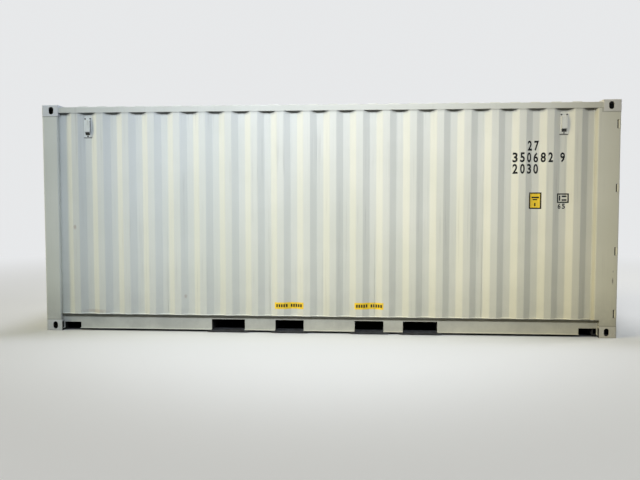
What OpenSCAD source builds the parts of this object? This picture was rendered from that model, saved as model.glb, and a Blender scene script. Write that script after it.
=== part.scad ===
// A corrugated steel freight container. The origin is the middle of its base,
// the doors are at +X, and the left side, seen from the doors, is at -Y.

/* [Overall] */
// Length over the corner castings
overall_l = 6058; // [5500:1:7000]
// Width over the corner castings
overall_w = 2438; // [2300:1:2600]
// Height over the corner castings
overall_h = 2438; // [2300:1:2900]

/* [Corner castings] */
// Length of a casting along the container
casting_l = 178; // [172:1:186]
// Width of a casting across the container
casting_w = 162; // [156:1:170]
// Height of a casting
casting_h = 118; // [114:1:124]
// Thickness of the plate that holds the twistlock aperture
casting_plate = 28; // [22:1:32]
// Thickness of the outer side and end walls
casting_wall = 16; // [12:1:20]
// Thickness of the inner walls
casting_back = 10; // [8:1:14]
// Radius of the upright outer edge
casting_edge_r = 14; // [8:1:18]
// Radius of the lying outer edges
casting_rim_r = 6; // [3:1:8]
// Diameter of the twistlock aperture
aperture_d = 124.5; // [120:0.5:126]
// Width of the twistlock aperture across its flats
aperture_w = 63.5; // [60:0.5:66]
// Distance from the end of the container to the aperture's centre
aperture_x = 102.5; // [100:0.5:105]
// Distance from the side of the container to the aperture's centre
aperture_y = 89.5; // [87:0.5:92]
// Width of an oval lashing hole
oval_w = 51; // [46:0.5:55]
// Height of an oval lashing hole
oval_h = 79.5; // [72:0.5:82]

/* [Side walls] */
// Recess of the outer flats from the castings' faces
wall_recess = 8; // [5:0.5:12]
// Depth of the corrugations
wall_depth = 36; // [28:1:40]
// Thickness of the side sheets
wall_t = 1.6; // [1.2:0.1:3]
// Width of an outer flat
wall_outer = 72; // [60:1:90]
// Width of an inner flat
wall_inner = 70; // [60:1:90]
// Width of a slope
wall_slope = 68; // [50:1:80]
// Distance from the front end to the first outer flat
wall_start = 318; // [300:1:340]
// Bend radius of the corrugations
sheet_bend_r = 12; // [6:1:16]

/* [Front wall] */
// Recess of the outer flats from the castings' end faces
front_recess = 8; // [5:0.5:12]
// Depth of the corrugations
front_depth = 45; // [36:1:50]
// Thickness of the front sheet
front_t = 2; // [1.6:0.1:3]
// Width of an outer flat
front_outer = 104; // [90:1:120]
// Width of an inner flat
front_inner = 110; // [90:1:120]
// Width of a slope
front_slope = 18; // [14:1:30]

/* [Posts] */
// Recess of the posts' faces from the castings' faces
post_recess = 2; // [1:0.5:4]
// Plate thickness of the posts
post_t = 6; // [5:0.5:8]
// Width of a front post's side face
front_post_l = 172; // [160:1:176]
// Width of a front post's end face
front_post_w = 150; // [140:1:158]
// Width of a rear post's side face
rear_post_l = 228; // [215:1:240]
// Length of the slope from that face down to the side wall
rear_post_slope = 26; // [15:1:35]
// Length of the lip that the side wall is welded to
rear_post_lip = 12; // [6:1:16]
// Distance from the side of the container to the door jamb
jamb_y = 49; // [46:1:52]
// Length of the inner channel's web
channel_l = 113; // [100:1:120]
// Thickness of the inner channel
channel_t = 12; // [8:1:14]
// Bend radius of the posts
post_bend_r = 14; // [10:1:16]

/* [Side rails] */
// Height of the bottom side rail
rail_h = 162; // [150:1:170]
// Height of its lower edge above the ground
rail_z = 25; // [20:1:30]
// Width of its top flange
rail_top_w = 48; // [44:1:52]
// Width of its bottom flange
rail_low_w = 30; // [24:1:36]
// Thickness of the bottom side rail
rail_t = 4.5; // [4:0.5:6]
// Recess of its top flange from the castings' faces
rail_recess = 4; // [2:0.5:6]
// Distance from a casting to the notch beside it
notch_gap = 12; // [10:1:30]
// Length of the notch
notch_l = 181; // [150:1:200]
// Top of the notch above the ground
notch_z = 90; // [70:1:100]
// Side of the square top rail
top_rail_w = 60; // [56:1:64]
// Thickness of the square top rail
top_rail_t = 3; // [3:0.5:5]
// Recess of the top rail from the castings' faces
top_rail_recess = 5; // [3:0.5:7]
// Depth of the top rail's upper face under the castings' tops
top_drop = 26; // [24:1:30]

/* [End frames] */
// Recess of the front sill and header
end_recess = 6; // [4:1:10]
// Flange width of the front sill
sill_flange = 60; // [50:1:80]
// Thickness of the sills and the door header
sill_t = 4; // [3:0.5:6]
// Height of the sills' lower edges above the ground
sill_z = 15; // [12:1:18]
// Length of the door sill's and door header's flanges
door_flange = 100; // [90:1:120]
// Length of the threshold on top of the door sill
threshold_l = 43; // [35:1:60]
// Thickness of the rain plate over the door header
rain_t = 4; // [3:0.5:5]

/* [Roof] */
// Thickness of the roof sheet
roof_t = 2; // [1.6:0.1:3]
// Height of the pressed ribs
roof_rib_h = 17; // [12:1:19]
// Width of a rib's top
roof_rib_w = 91; // [80:1:100]
// Width of the flat between ribs
roof_gap_w = 91; // [80:1:100]
// Width of a rib's sloping side
roof_rib_slope = 13.5; // [10:0.5:20]
// Distance from an end of the container to the first rib
roof_end = 315; // [300:1:340]
// Distance from a side of the container to the ribs' ends
roof_side = 62; // [58:1:100]
// Length of the slope at a rib's end
roof_end_slope = 24; // [18:1:40]
// Gap between the rear castings and the roof sheet
roof_rear_gap = 8; // [5:1:12]
// Gap between the roof sheet and the plates beside it
roof_plate_gap = 2; // [1:0.5:3]
// Length of a corner plate
corner_plate_l = 270; // [200:1:280]
// Width of a corner plate
corner_plate_w = 240; // [180:1:300]
// Thickness of a corner plate
corner_plate_t = 3; // [3:0.5:4]

/* [Base] */
// Height of the cross members' lower faces above the ground
member_z = 18; // [16:1:22]
// Height of a cross member
member_h = 119; // [112:1:124]
// Flange width of a cross member
member_w = 45; // [40:1:50]
// Thickness of a cross member
member_t = 4; // [3:0.5:5]
// Cross members between the outer pockets and each end
member_count = 6; // [5:1:7]
// Thickness of the floor boards
floor_t = 28; // [24:1:30]
// Width of the steel bar between the floor boards
floor_bar_w = 60; // [50:1:80]
// Thickness of the steel bar
floor_bar_t = 3; // [3:0.5:4]
// Gap between the floor and what surrounds it
floor_gap = 2; // [1:0.5:3]

/* [Fork pockets] */
// Distance between the outer pockets' centres
outer_pitch = 2050; // [2000:1:2150]
// Width of an outer pocket
outer_pocket_w = 360; // [340:1:370]
// Distance between the inner pockets' centres
inner_pitch = 850; // [840:1:900]
// Distance from the container's middle to the inner pair's middle
inner_shift = 63; // [0:1:70]
// Width of an inner pocket
inner_pocket_w = 305; // [280:1:320]
// Height of the pockets' top plates' undersides above the ground
pocket_z = 134; // [130:1:134]
// Thickness of the straps under the pockets
strap_t = 6; // [5:1:6]
// Length of a strap across the container
strap_l = 200; // [150:1:250]

/* [Doors] */
// Distance from the castings' end faces to the doors' outer faces
door_recess = 75; // [72:1:78]
// Thickness of a door leaf
leaf_t = 50; // [45:1:50]
// Gap between a leaf and the frame around it
leaf_gap = 8; // [6:1:10]
// Gap between the two leaves
meeting_gap = 26; // [24:1:32]
// Width of a leaf's upright tubes
stile_w = 100; // [90:1:110]
// Height of a leaf's level tubes
leaf_rail_h = 150; // [130:1:160]
// Wall thickness of the leaf's tubes
leaf_tube_t = 3; // [2.5:0.5:4]
// Thickness of the leaf's panel
leaf_panel_t = 2; // [1.6:0.1:3]
// Depth of the leaf's corrugations
leaf_depth = 34; // [28:1:36]
// Recess of the leaf's panel in its tubes
leaf_panel_recess = 3; // [2:0.5:5]
// Corrugations on a leaf
leaf_waves = 3; // [3:1:3]
// Length of the seal through the leaf's thickness
seal_l = 20; // [15:1:25]
// Gap between a seal and the frame
seal_gap = 0.5; // [0.3:0.1:1]
// Gap between the two leaves' seals
seal_meeting_gap = 8; // [6:1:10]

/* [Hinges] */
// Distance from the side and end faces to the hinge axis
hinge_in = 16; // [16:0.5:17]
// Height of the lowest hinge above the ground
hinge_z0 = 251; // [245:1:260]
// Height of the highest hinge below the container's top
hinge_top = 248; // [240:1:256]
// Hinges on a leaf
hinge_count = 4; // [4:1:5]
// Height of a hinge slot in the post
slot_h = 88; // [84:1:92]
// Depth of a hinge slot from the post's end
slot_l = 42; // [40:1:44]
// Height of a hinge lug above and below the slot
lug_h = 24; // [18:1:28]
// Radius of a hinge pin
pin_r = 9; // [8:0.5:10]
// Running clearance around a pin
pin_gap = 0.05; // [0.03:0.01:0.08]
// Radius of a hinge knuckle
knuckle_r = 15; // [14:0.5:15]
// Gap above and below a knuckle
knuckle_gap = 3; // [2:0.5:4]
// Length of a hinge blade on the leaf, from the axis
blade_l = 195; // [170:1:220]
// Thickness of a hinge blade
blade_t = 15; // [12:1:16]

/* [Lock gear] */
// Radius of a lock rod
rod_r = 17; // [15:0.5:18]
// Wall thickness of a lock rod
rod_t = 3; // [2.5:0.5:4]
// Gap between a lock rod and the leaf
rod_gap = 6; // [5:0.5:7]
// Half length of a cam's tongue
cam_half = 34; // [28:1:38]
// Thickness of a cam's tongue
cam_t = 16; // [12:1:18]
// Height of a cam
cam_h = 28; // [22:1:32]
// Gap between a cam and its keeper
cam_gap = 8; // [6:1:10]
// Thickness of a keeper's plates
keeper_t = 6; // [5:1:8]
// Height of a keeper
keeper_h = 52; // [44:1:60]
// Thickness of a rod bracket
bracket_t = 4; // [3:0.5:4]
// Gap around a rod, and around a handle in its catch
sleeve_gap = 0.5; // [0.3:0.1:1]
// Height of a rod bracket
bracket_h = 44; // [36:1:50]
// Width of a rod bracket's foot beside the rod
bracket_foot = 22; // [18:1:26]
// Height of the outer brackets inside the leaf's lower and upper edges
bracket_edge = 85; // [70:1:100]
// Height of the middle brackets inside the leaf's level channels
bracket_mid = 520; // [400:1:700]
// Length of a lock handle
handle_l = 430; // [380:1:450]
// Height of a lock handle's bar
handle_h = 30; // [24:1:34]
// Thickness of a lock handle's bar
handle_t = 8; // [6:1:10]
// Height of the lower handle above the ground
handle_z = 1080; // [1000:1:1200]
// Height between the two handles on a leaf
handle_step = 120; // [100:1:160]
// Width of the plate under a handle's catch
catch_w = 84; // [70:1:100]
// Thickness of that plate and of the catch's flap
catch_t = 6; // [4:0.5:8]
// Width of the catch's flap
flap_w = 28; // [22:1:36]
// Gap between a handle and the flap over it
flap_gap = 3; // [2:0.5:4]
// Radius of the padlock's hole in the flap
lock_hole_r = 4.5; // [3:0.5:6]

/* [Ventilators] */
// Width of a ventilator
vent_w = 88; // [76:1:96]
// Height of a ventilator
vent_h = 210; // [180:1:230]
// Depth of a ventilator's hood
vent_d = 30; // [24:1:34]
// Depth of a ventilator's flat plate
vent_plate_d = 10; // [9:1:14]
// Height of a ventilator's top under the container's top
vent_drop = 133; // [120:1:150]
// Gap between a ventilator's seat and the corrugation's corners
vent_seat_gap = 4; // [4:0.5:8]
// Thickness of a ventilator's hood
vent_t = 4; // [3:0.5:5]
// Width of the mouth under a ventilator's hood
vent_mouth_w = 48; // [40:1:54]
// Height of that mouth
vent_mouth_h = 38; // [30:1:50]
// Height of the mouth above the ventilator's lower edge
vent_lip = 22; // [16:1:30]
// Height of the hood's top under the ventilator's top
vent_hood_drop = 26; // [20:1:34]

/* [Lashing rings] */
// Rings along each rail
ring_count = 5; // [3:1:6]
// Radius of the bar that a ring is bent from
ring_r = 5; // [4:0.5:6]
// Distance that a ring stands off its rail
ring_out = 26; // [20:1:30]
// Width of a ring
ring_w = 60; // [40:1:80]

/* [Hidden] */

half_l = overall_l / 2;
half_w = overall_w / 2;
eps = 1;

// Levels above the ground
rail_top = rail_z + rail_h;
post_top = overall_h - casting_h;
roof_z = overall_h - top_drop;
top_rail_z = roof_z - top_rail_w;
member_top = member_z + member_h;
floor_top = member_top + floor_t;
leaf_z0 = casting_h + leaf_gap;
leaf_z1 = post_top - leaf_gap;

// Distances inwards from a side face
wall_back = wall_recess + wall_depth + wall_t;
rail_in = rail_recess + rail_top_w;
leaf_y0 = jamb_y + leaf_gap;
leaf_y1 = half_w - meeting_gap / 2;

// Distances inwards from an end face
front_back = front_recess + front_depth + front_t;
channel_x = door_recess + 3;
threshold_x = door_recess + leaf_t + sill_t + 3;
floor_x0 = end_recess + sill_flange + floor_gap;
floor_x1 = threshold_x + threshold_l + floor_gap;
wall_x1 = rear_post_l + rear_post_slope + rear_post_lip;
rod_x = door_recess - rod_gap - rod_r;
frame_x = door_recess + keeper_t;
sill_x1 = frame_x + door_flange;

wall_pitch = wall_outer + wall_inner + 2 * wall_slope;
wall_waves = floor((overall_l - wall_x1 - wall_start - wall_outer - wall_slope) / wall_pitch) + 1;
front_pitch = front_outer + front_inner + 2 * front_slope;
front_span = overall_w - 2 * front_post_w;
front_waves = floor((front_span - 2 * front_slope - front_outer) / front_pitch) + 1;
leaf_wave_pitch = wall_outer + wall_inner + 2 * wall_slope;
roof_pitch = roof_rib_w + roof_gap_w + 2 * roof_rib_slope;
roof_ribs = floor((overall_l - 2 * roof_end + roof_gap_w) / roof_pitch);
pockets = [
    [-outer_pitch / 2, outer_pocket_w],
    [inner_shift - inner_pitch / 2, inner_pocket_w],
    [inner_shift + inner_pitch / 2, inner_pocket_w],
    [outer_pitch / 2, outer_pocket_w]];
hinge_pitch = (overall_h - hinge_top - hinge_z0) / (hinge_count - 1);
hinge_heights = [for (i = [0 : hinge_count - 1]) hinge_z0 + i * hinge_pitch];
leaf_mid = (leaf_y0 + leaf_y1) / 2;
rod_places = [leaf_mid - leaf_wave_pitch, leaf_mid + leaf_wave_pitch];
rod_ends = [sill_z + 48, post_top + 50];
bracket_heights = [leaf_z0 + bracket_edge, leaf_z0 + leaf_rail_h + bracket_mid,
    leaf_z1 - leaf_rail_h - bracket_mid, leaf_z1 - bracket_edge];

// Colours, close to the painted steel, board, rubber and plated steel
paint = [0.80, 0.79, 0.72];
board = [0.45, 0.30, 0.18];
rubber = [0.10, 0.10, 0.10];
plated = [0.66, 0.67, 0.66];
plastic = [0.84, 0.84, 0.80];

// Folded sheets: a path with rounded bends, given a thickness on its left
function unit(v) = v / norm(v);
function left_of(v) = [-v[1], v[0]];
function reversed(p) = [for (i = [len(p) - 1 : -1 : 0]) p[i]];
function turn(v, a) = [v[0] * cos(a) - v[1] * sin(a), v[0] * sin(a) + v[1] * cos(a)];
function bend_angle(a, b) = atan2(a[0] * b[1] - a[1] * b[0], a * b);
function bend(p, a, b, r, steps) =
    let (angle = bend_angle(a, b),
        start = p - a * r * tan(abs(angle) / 2),
        arm = left_of(a) * r * sign(angle))
    [for (k = [0 : steps]) start + arm - turn(arm, angle * k / steps)];
function rounded(path, r, steps) = [for (i = [0 : len(path) - 1])
    each (i == 0 || i == len(path) - 1 ? [path[i]] :
        bend(path[i], unit(path[i] - path[i - 1]), unit(path[i + 1] - path[i]), r, steps))];
function shifted(p, t) = [for (i = [0 : len(p) - 1])
    let (before = unit(p[max(i, 1)] - p[max(i, 1) - 1]),
        after = unit(p[min(i + 1, len(p) - 1)] - p[min(i, len(p) - 2)]),
        middle = unit(left_of(before) + left_of(after)))
    p[i] + middle * t / (middle * left_of(before))];
function folded(path, t, r, steps = 3) =
    let (line = rounded(path, r, steps)) concat(line, reversed(shifted(line, t)));

// Corrugations along a line, from start, with out as the outer level and in as the inner
function waves(start, count, flat_out, flat_in, slope, out, in) = [
    for (k = [0 : count - 1])
        let (x = start + k * (flat_out + flat_in + 2 * slope))
        each [[x - slope, in], [x, out], [x + flat_out, out], [x + flat_out + slope, in]]];

// Extrusions along the three axes
module along_x(x0, x1) {
    translate([x0, 0, 0]) rotate([90, 0, 90]) linear_extrude(x1 - x0) children();
}

module along_y(y0, y1) {
    translate([0, y1, 0]) rotate([90, 0, 0]) linear_extrude(y1 - y0) children();
}

module along_z(z0, z1) {
    translate([0, 0, z0]) linear_extrude(z1 - z0) children();
}

module block(low, high) {
    translate(low) cube(high - low);
}

// Places: a corner's own frame runs inwards from the container's outer faces
module front_left() {
    translate([-half_l, -half_w, 0]) children();
}

module rear_left() {
    translate([half_l, -half_w, 0]) mirror([1, 0, 0]) children();
}

module right_side() {
    mirror([0, 1, 0]) children();
}

module both_sides() {
    children();
    mirror([0, 1, 0]) children();
}

module top_end() {
    translate([0, 0, overall_h]) mirror([0, 0, 1]) children();
}

// Corner castings
module outer_corner(l, w, r) {
    difference() {
        square([l, w]);
        difference() {
            translate([-eps, -eps]) square([r + eps, r + eps]);
            translate([r, r]) circle(r, $fn = 48);
        }
    }
}

module oval_hole(t) {
    linear_extrude(t) {
        square([oval_w, oval_h - oval_w], center = true);
        for (s = [-1, 1]) {
            translate([0, s * (oval_h - oval_w) / 2]) circle(d = oval_w, $fn = 48);
        }
    }
}

module casting() {
    difference() {
        intersection() {
            linear_extrude(casting_h) outer_corner(casting_l, casting_w, casting_edge_r);
            along_x(0, casting_l) outer_corner(casting_w, casting_h, casting_rim_r);
            along_y(0, casting_w) outer_corner(casting_l, casting_h, casting_rim_r);
        }
        block([casting_wall, casting_wall, casting_plate],
            [casting_l - casting_back, casting_w - casting_back, casting_h - casting_back]);
        translate([aperture_x, aperture_y, -eps]) linear_extrude(casting_plate + 2 * eps)
            intersection() {
                circle(d = aperture_d, $fn = 64);
                square([aperture_d, aperture_w], center = true);
            }
        translate([aperture_x, casting_wall + eps, casting_h / 2])
            rotate([90, 0, 0]) oval_hole(casting_wall + 2 * eps);
        translate([-eps, aperture_y, casting_h / 2])
            rotate([90, 0, 90]) oval_hole(casting_wall + 2 * eps);
    }
}

module castings_left() {
    color(paint) {
        front_left() casting();
        rear_left() casting();
    }
}

// The space that the four castings of one side take, cut from what meets them
module casting_space() {
    for (z = [-eps, post_top]) {
        front_left() block([-eps, -eps, z], [casting_l, casting_w, z + casting_h + eps]);
        rear_left() block([-eps, -eps, z], [casting_l, casting_w, z + casting_h + eps]);
    }
}

// Corner posts
module front_post() {
    path = [[front_post_l, wall_back], [front_post_l, post_recess], [post_recess, post_recess],
        [post_recess, front_post_w], [front_back, front_post_w]];
    color(paint) front_left() along_z(casting_h, post_top)
        polygon(folded(path, -post_t, post_bend_r));
}

module rear_post() {
    lip = rear_post_l + rear_post_slope;
    path = [[lip + rear_post_lip, wall_back - wall_t], [lip, wall_back - wall_t],
        [rear_post_l, post_recess], [post_recess, post_recess],
        [post_recess, jamb_y], [channel_x, jamb_y]];
    color(paint) rear_left() difference() {
        along_z(casting_h, top_rail_z) polygon(folded(path, -post_t, post_bend_r));
        block([-eps, -eps, post_top], [casting_l, casting_w, top_rail_z + eps]);
        block([casting_l, -eps, 0], [wall_x1 + eps, casting_w, rail_top]);
        for (z = hinge_heights) {
            block([-eps, -eps, z - slot_h / 2 - lug_h],
                [slot_l, jamb_y + eps, z + slot_h / 2 + lug_h]);
            block([slot_l - eps, jamb_y - post_t - eps, z - slot_h / 2],
                [channel_x + eps, jamb_y + eps, z + slot_h / 2]);
        }
    }
}

module rear_post_channels() {
    depth = jamb_y - post_recess - post_t;
    path = [[channel_x, jamb_y - depth], [channel_x, jamb_y],
        [channel_x + channel_l, jamb_y], [channel_x + channel_l, jamb_y - depth]];
    color(paint) both_sides() rear_left() difference() {
        along_z(casting_h, post_top) polygon(folded(path, -channel_t, channel_t + 2));
        block([casting_l, -eps, 0], [channel_x + channel_l + eps, casting_w, rail_top]);
    }
}

// Side rails
module bottom_rail() {
    path = [[rail_recess, rail_top], [rail_in, rail_top], [rail_in, rail_z],
        [rail_in - rail_low_w, rail_z]];
    color(paint) difference() {
        translate([0, -half_w, 0]) along_x(-half_l + front_post_l, half_l - casting_l)
            polygon(folded(path, -rail_t, rail_t + 2));
        casting_space();
        for (p = pockets) {
            block([p[0] - p[1] / 2, -half_w - eps, 0],
                [p[0] + p[1] / 2, -half_w + rail_in + eps, pocket_z + 4]);
        }
        for (s = [-1, 1]) {
            x0 = half_l - casting_l - notch_gap - notch_l / 2;
            block([s * x0 - notch_l / 2, -half_w - eps, 0],
                [s * x0 + notch_l / 2, -half_w + rail_in + eps, notch_z]);
        }
    }
}

module tube_section(w, h, t) {
    r = 2 * t;
    difference() {
        tube_outline(w, h, r);
        translate([t, t]) tube_outline(w - 2 * t, h - 2 * t, r - t);
    }
}

module tube_outline(w, h, r) {
    translate([r, 0]) square([w - 2 * r, h]);
    translate([0, r]) square([w, h - 2 * r]);
    for (x = [r, w - r], y = [r, h - r]) {
        translate([x, y]) circle(r, $fn = 24);
    }
}

module top_rail() {
    color(paint) translate([0, top_rail_recess - half_w, top_rail_z])
        along_x(-half_l + casting_l, half_l - casting_l)
            tube_section(top_rail_w, top_rail_w, top_rail_t);
}

// Front end frame and wall
module front_sill() {
    path = [[end_recess + sill_flange, rail_top], [end_recess, rail_top],
        [end_recess, sill_z], [end_recess + sill_flange, sill_z]];
    color(paint) difference() {
        translate([-half_l, 0, 0]) along_y(-half_w + front_post_w, half_w - front_post_w)
            polygon(folded(path, sill_t, sill_t + 2));
        both_sides() casting_space();
    }
}

module front_header() {
    color(paint) translate([end_recess - half_l, 0, top_rail_z])
        along_y(-half_w + casting_w, half_w - casting_w)
            tube_section(top_rail_w, top_rail_w, top_rail_t);
}

module front_wall() {
    wave_l = front_waves * front_pitch - front_inner;
    in = front_recess + front_depth;
    middle = waves(-wave_l / 2 + front_slope, front_waves, front_outer, front_inner,
        front_slope, front_recess, in);
    path = concat([[front_span / -2, in]], middle, [[front_span / 2, in]]);
    color(paint) difference() {
        along_z(rail_top, top_rail_z) translate([-half_l, 0])
            polygon([for (p = folded(path, front_t, sheet_bend_r)) [p[1], p[0]]]);
        both_sides() casting_space();
    }
}

// Corrugated side wall, standing on the bottom rail under the top rail
module side_wall() {
    in = wall_recess + wall_depth;
    middle = waves(wall_start, wall_waves, wall_outer, wall_inner, wall_slope, wall_recess, in);
    path = concat([[front_post_l, in]], middle, [[overall_l - wall_x1, in]]);
    color(paint) difference() {
        front_left() along_z(rail_top, top_rail_z) polygon(folded(path, wall_t, sheet_bend_r));
        casting_space();
    }
}

// Roof, pressed up into ribs whose ends slope down to a flat margin
module rib_comb(inset) {
    start = -(roof_ribs * roof_pitch - roof_gap_w) / 2 + roof_rib_slope;
    for (k = [0 : roof_ribs - 1]) {
        x0 = start + k * roof_pitch + inset;
        x1 = x0 + roof_rib_w - 2 * inset;
        polygon([[x0 - roof_rib_slope, -eps], [x0 - roof_rib_slope, 0], [x0, roof_rib_h],
            [x1, roof_rib_h], [x1 + roof_rib_slope, 0], [x1 + roof_rib_slope, -eps]]);
    }
}

module rib_ends(inset) {
    y0 = half_w - roof_side - inset;
    y1 = y0 - roof_end_slope;
    polygon([[-y0, -eps], [-y0, 0], [-y1, roof_rib_h], [y1, roof_rib_h], [y0, 0], [y0, -eps]]);
}

module ribs(inset) {
    intersection() {
        along_y(-half_w, half_w) rib_comb(inset);
        along_x(-half_l, half_l) rib_ends(inset);
    }
}

module roof() {
    margin = top_rail_recess + 3;
    color(paint) translate([0, 0, roof_z]) difference() {
        union() {
            block([end_recess + 4 - half_l, margin - half_w, 0],
                [half_l - casting_l - roof_rear_gap, half_w - margin, roof_t]);
            translate([0, 0, roof_t]) ribs(0);
        }
        ribs(roof_t / 2);
        translate([0, 0, -roof_z]) both_sides() casting_space();
    }
}

module roof_corner_plates() {
    x0 = end_recess + 10;
    x1 = casting_l + 14;
    color(paint) both_sides() along_z(roof_z + roof_t, roof_z + roof_t + corner_plate_t) {
        translate([x0 - half_l, casting_w + 2 - half_w]) square([corner_plate_l, corner_plate_w]);
        translate([half_l - x1 - corner_plate_l / 3, casting_w + 2 - half_w])
            square([corner_plate_l / 3, corner_plate_w]);
    }
}

// Door end frame
module door_header() {
    path = [[sill_x1, post_top], [frame_x, post_top], [frame_x, roof_z], [sill_x1, roof_z]];
    y = half_w - casting_w;
    color(paint) translate([half_l, 0, 0]) mirror([1, 0, 0]) {
        along_y(-y, y) polygon(folded(path, -sill_t, sill_t + 2));
        block([end_recess, -y, roof_z],
            [casting_l + roof_rear_gap - roof_plate_gap, y, roof_z + rain_t]);
        block([frame_x + 2 * sill_t, -y, roof_z - sill_t / 2],
            [frame_x + door_flange / 2, y, roof_z + rain_t / 2]);
    }
}

module door_sill() {
    path = [[sill_x1, sill_z], [frame_x, sill_z],
        [frame_x, casting_h], [threshold_x, casting_h],
        [threshold_x, floor_top], [threshold_x + threshold_l, floor_top]];
    color(paint) difference() {
        translate([half_l, 0, 0]) mirror([1, 0, 0]) along_y(-half_w + jamb_y, half_w - jamb_y)
            polygon(folded(path, -sill_t, sill_t + 1));
        both_sides() casting_space();
    }
}

// Base: channels across the container, the pocket tunnels and the floor
module cross_member(x, side) {
    path = [[member_w, member_z], [0, member_z], [0, member_top], [member_w, member_top]];
    translate([x, 0, 0]) mirror([side < 0 ? 1 : 0, 0, 0])
        along_y(-half_w + rail_in, half_w - rail_in)
            polygon(folded(path, -member_t, member_t + 2));
}

module members(outer_edge, front_step, rear_step) {
    for (p = pockets) {
        cross_member(p[0] - p[1] / 2, -1);
        cross_member(p[0] + p[1] / 2, 1);
    }
    cross_member(inner_shift - member_w / 2, 1);
    for (k = [1 : member_count]) {
        cross_member(-outer_edge - member_w - k * front_step, 1);
        cross_member(outer_edge + member_w + k * rear_step, 1);
    }
}

module cross_members() {
    outer_edge = outer_pitch / 2 + outer_pocket_w / 2;
    front_step = (half_l - floor_x0 - 20 - outer_edge - member_w) / member_count;
    rear_end = half_l - max(floor_x1, casting_l + floor_gap, sill_x1 + floor_gap) - member_w;
    rear_step = (rear_end - outer_edge - member_w) / member_count;
    color(paint) difference() {
        members(outer_edge, front_step, rear_step);
        both_sides() casting_space();
    }
}

module fork_pocket_plates() {
    y = half_w - rail_in;
    color(paint) for (p = pockets) {
        block([p[0] - p[1] / 2, -y, pocket_z], [p[0] + p[1] / 2, y, member_top]);
        both_sides() block([p[0] - p[1] / 2 - member_w, rail_recess - half_w, member_z - strap_t],
            [p[0] + p[1] / 2 + member_w, rail_recess + strap_l - half_w, member_z]);
    }
}

module floor_boards() {
    color(board) both_sides()
        block([floor_x0 - half_l, rail_in + floor_gap - half_w, member_top],
            [half_l - floor_x1, -floor_bar_w / 2 - floor_gap / 2, floor_top]);
}

module floor_bar() {
    half = floor_bar_w / 2;
    path = [[-half, member_top], [-half, floor_top], [half, floor_top], [half, member_top]];
    color(plated) along_x(floor_x0 - half_l, half_l - floor_x1)
        polygon(folded(path, -floor_bar_t, floor_bar_t + 1));
}

// Ventilators, on an inner flat near each end of both side walls
module vent_hood(top, low) {
    inner = vent_d - vent_t;
    slant = vent_d - vent_plate_d;
    difference() {
        along_x(-vent_mouth_w, vent_mouth_w) polygon([[0, low + vent_lip + vent_t],
            [vent_plate_d, low + vent_lip + vent_t], [vent_d, low + vent_lip + vent_mouth_h],
            [vent_d, top - vent_hood_drop - slant / 2], [vent_plate_d, top - vent_hood_drop],
            [0, top - vent_hood_drop]]);
        along_x(-vent_mouth_w / 2, vent_mouth_w / 2) polygon([[vent_plate_d - vent_t, low],
            [inner, low], [inner, top - vent_hood_drop - slant],
            [vent_plate_d - vent_t, top - vent_hood_drop - slant / 2]]);
    }
}

module ventilator() {
    flat = wall_inner - 2 * vent_seat_gap;
    top = overall_h - vent_drop;
    low = top - vent_h;
    half = vent_mouth_w / 2 + vent_t;
    difference() {
        along_z(low, top) polygon([[-flat / 2, 0], [flat / 2, 0], [vent_w / 2, vent_plate_d - 2],
            [vent_w / 2, vent_plate_d], [-vent_w / 2, vent_plate_d], [-vent_w / 2, vent_plate_d - 2]]);
        block([-vent_mouth_w / 2, vent_plate_d - vent_t, low + vent_lip],
            [vent_mouth_w / 2, vent_plate_d + eps, low + vent_lip + vent_mouth_h]);
    }
    intersection() {
        vent_hood(top, low);
        along_z(low, top) polygon([[-half - vent_t, vent_plate_d - vent_t],
            [half + vent_t, vent_plate_d - vent_t], [half, vent_d], [-half, vent_d]]);
    }
}

module ventilators() {
    seat = wall_recess + wall_depth - half_w;
    places = [wall_start + wall_pitch - wall_slope - wall_inner / 2,
        wall_start + (wall_waves - 1) * wall_pitch - wall_slope - wall_inner / 2];
    color(plastic) both_sides() for (x = places) {
        translate([x - half_l, seat, 0]) mirror([0, 1, 0]) ventilator();
    }
}

// Hinges: lugs and pins on the post, knuckles and blades on the leaf
module hinge_lugs() {
    h = slot_h / 2;
    color(paint) both_sides() rear_left() for (z = hinge_heights) {
        for (z0 = [z - h - lug_h, z + h]) {
            translate([post_recess, post_recess, z0]) linear_extrude(lug_h)
                outer_corner(slot_l - post_recess, jamb_y - post_recess, post_bend_r);
        }
        translate([hinge_in, hinge_in, z - h - eps])
            cylinder(r = pin_r, h = slot_h + 2 * eps, $fn = 48);
    }
}

module blade() {
    face = door_recess - hinge_in;
    polygon([[-4, 4], [-3, -12], [12, -9], [24, 22], [50, face - blade_t],
        [blade_l, face - blade_t], [blade_l, face], [42, face], [3, 22]]);
}

module door_hinges() {
    h = slot_h / 2 - knuckle_gap;
    color(paint) rear_left() for (z = hinge_heights) {
        translate([hinge_in, hinge_in, z - h]) difference() {
            union() {
                cylinder(r = knuckle_r, h = 2 * h, $fn = 48);
                linear_extrude(2 * h) mirror([1, -1]) blade();
            }
            translate([0, 0, -eps]) cylinder(r = pin_r + pin_gap, h = 2 * h + 2 * eps, $fn = 48);
        }
    }
}

// Door leaf: two tubes, two channels, a corrugated panel and a seal around its edge
module leaf_tube_upright(y) {
    translate([door_recess, y, 0]) along_z(leaf_z0, leaf_z1)
        tube_section(leaf_t, stile_w, leaf_tube_t);
}

module leaf_channel_level(z) {
    path = [[leaf_t, 0], [0, 0], [0, leaf_rail_h], [leaf_t, leaf_rail_h]];
    translate([door_recess, 0, z]) along_y(leaf_y0 + stile_w, leaf_y1 - stile_w)
        polygon(folded(path, -leaf_tube_t, leaf_tube_t + 2));
}

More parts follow.
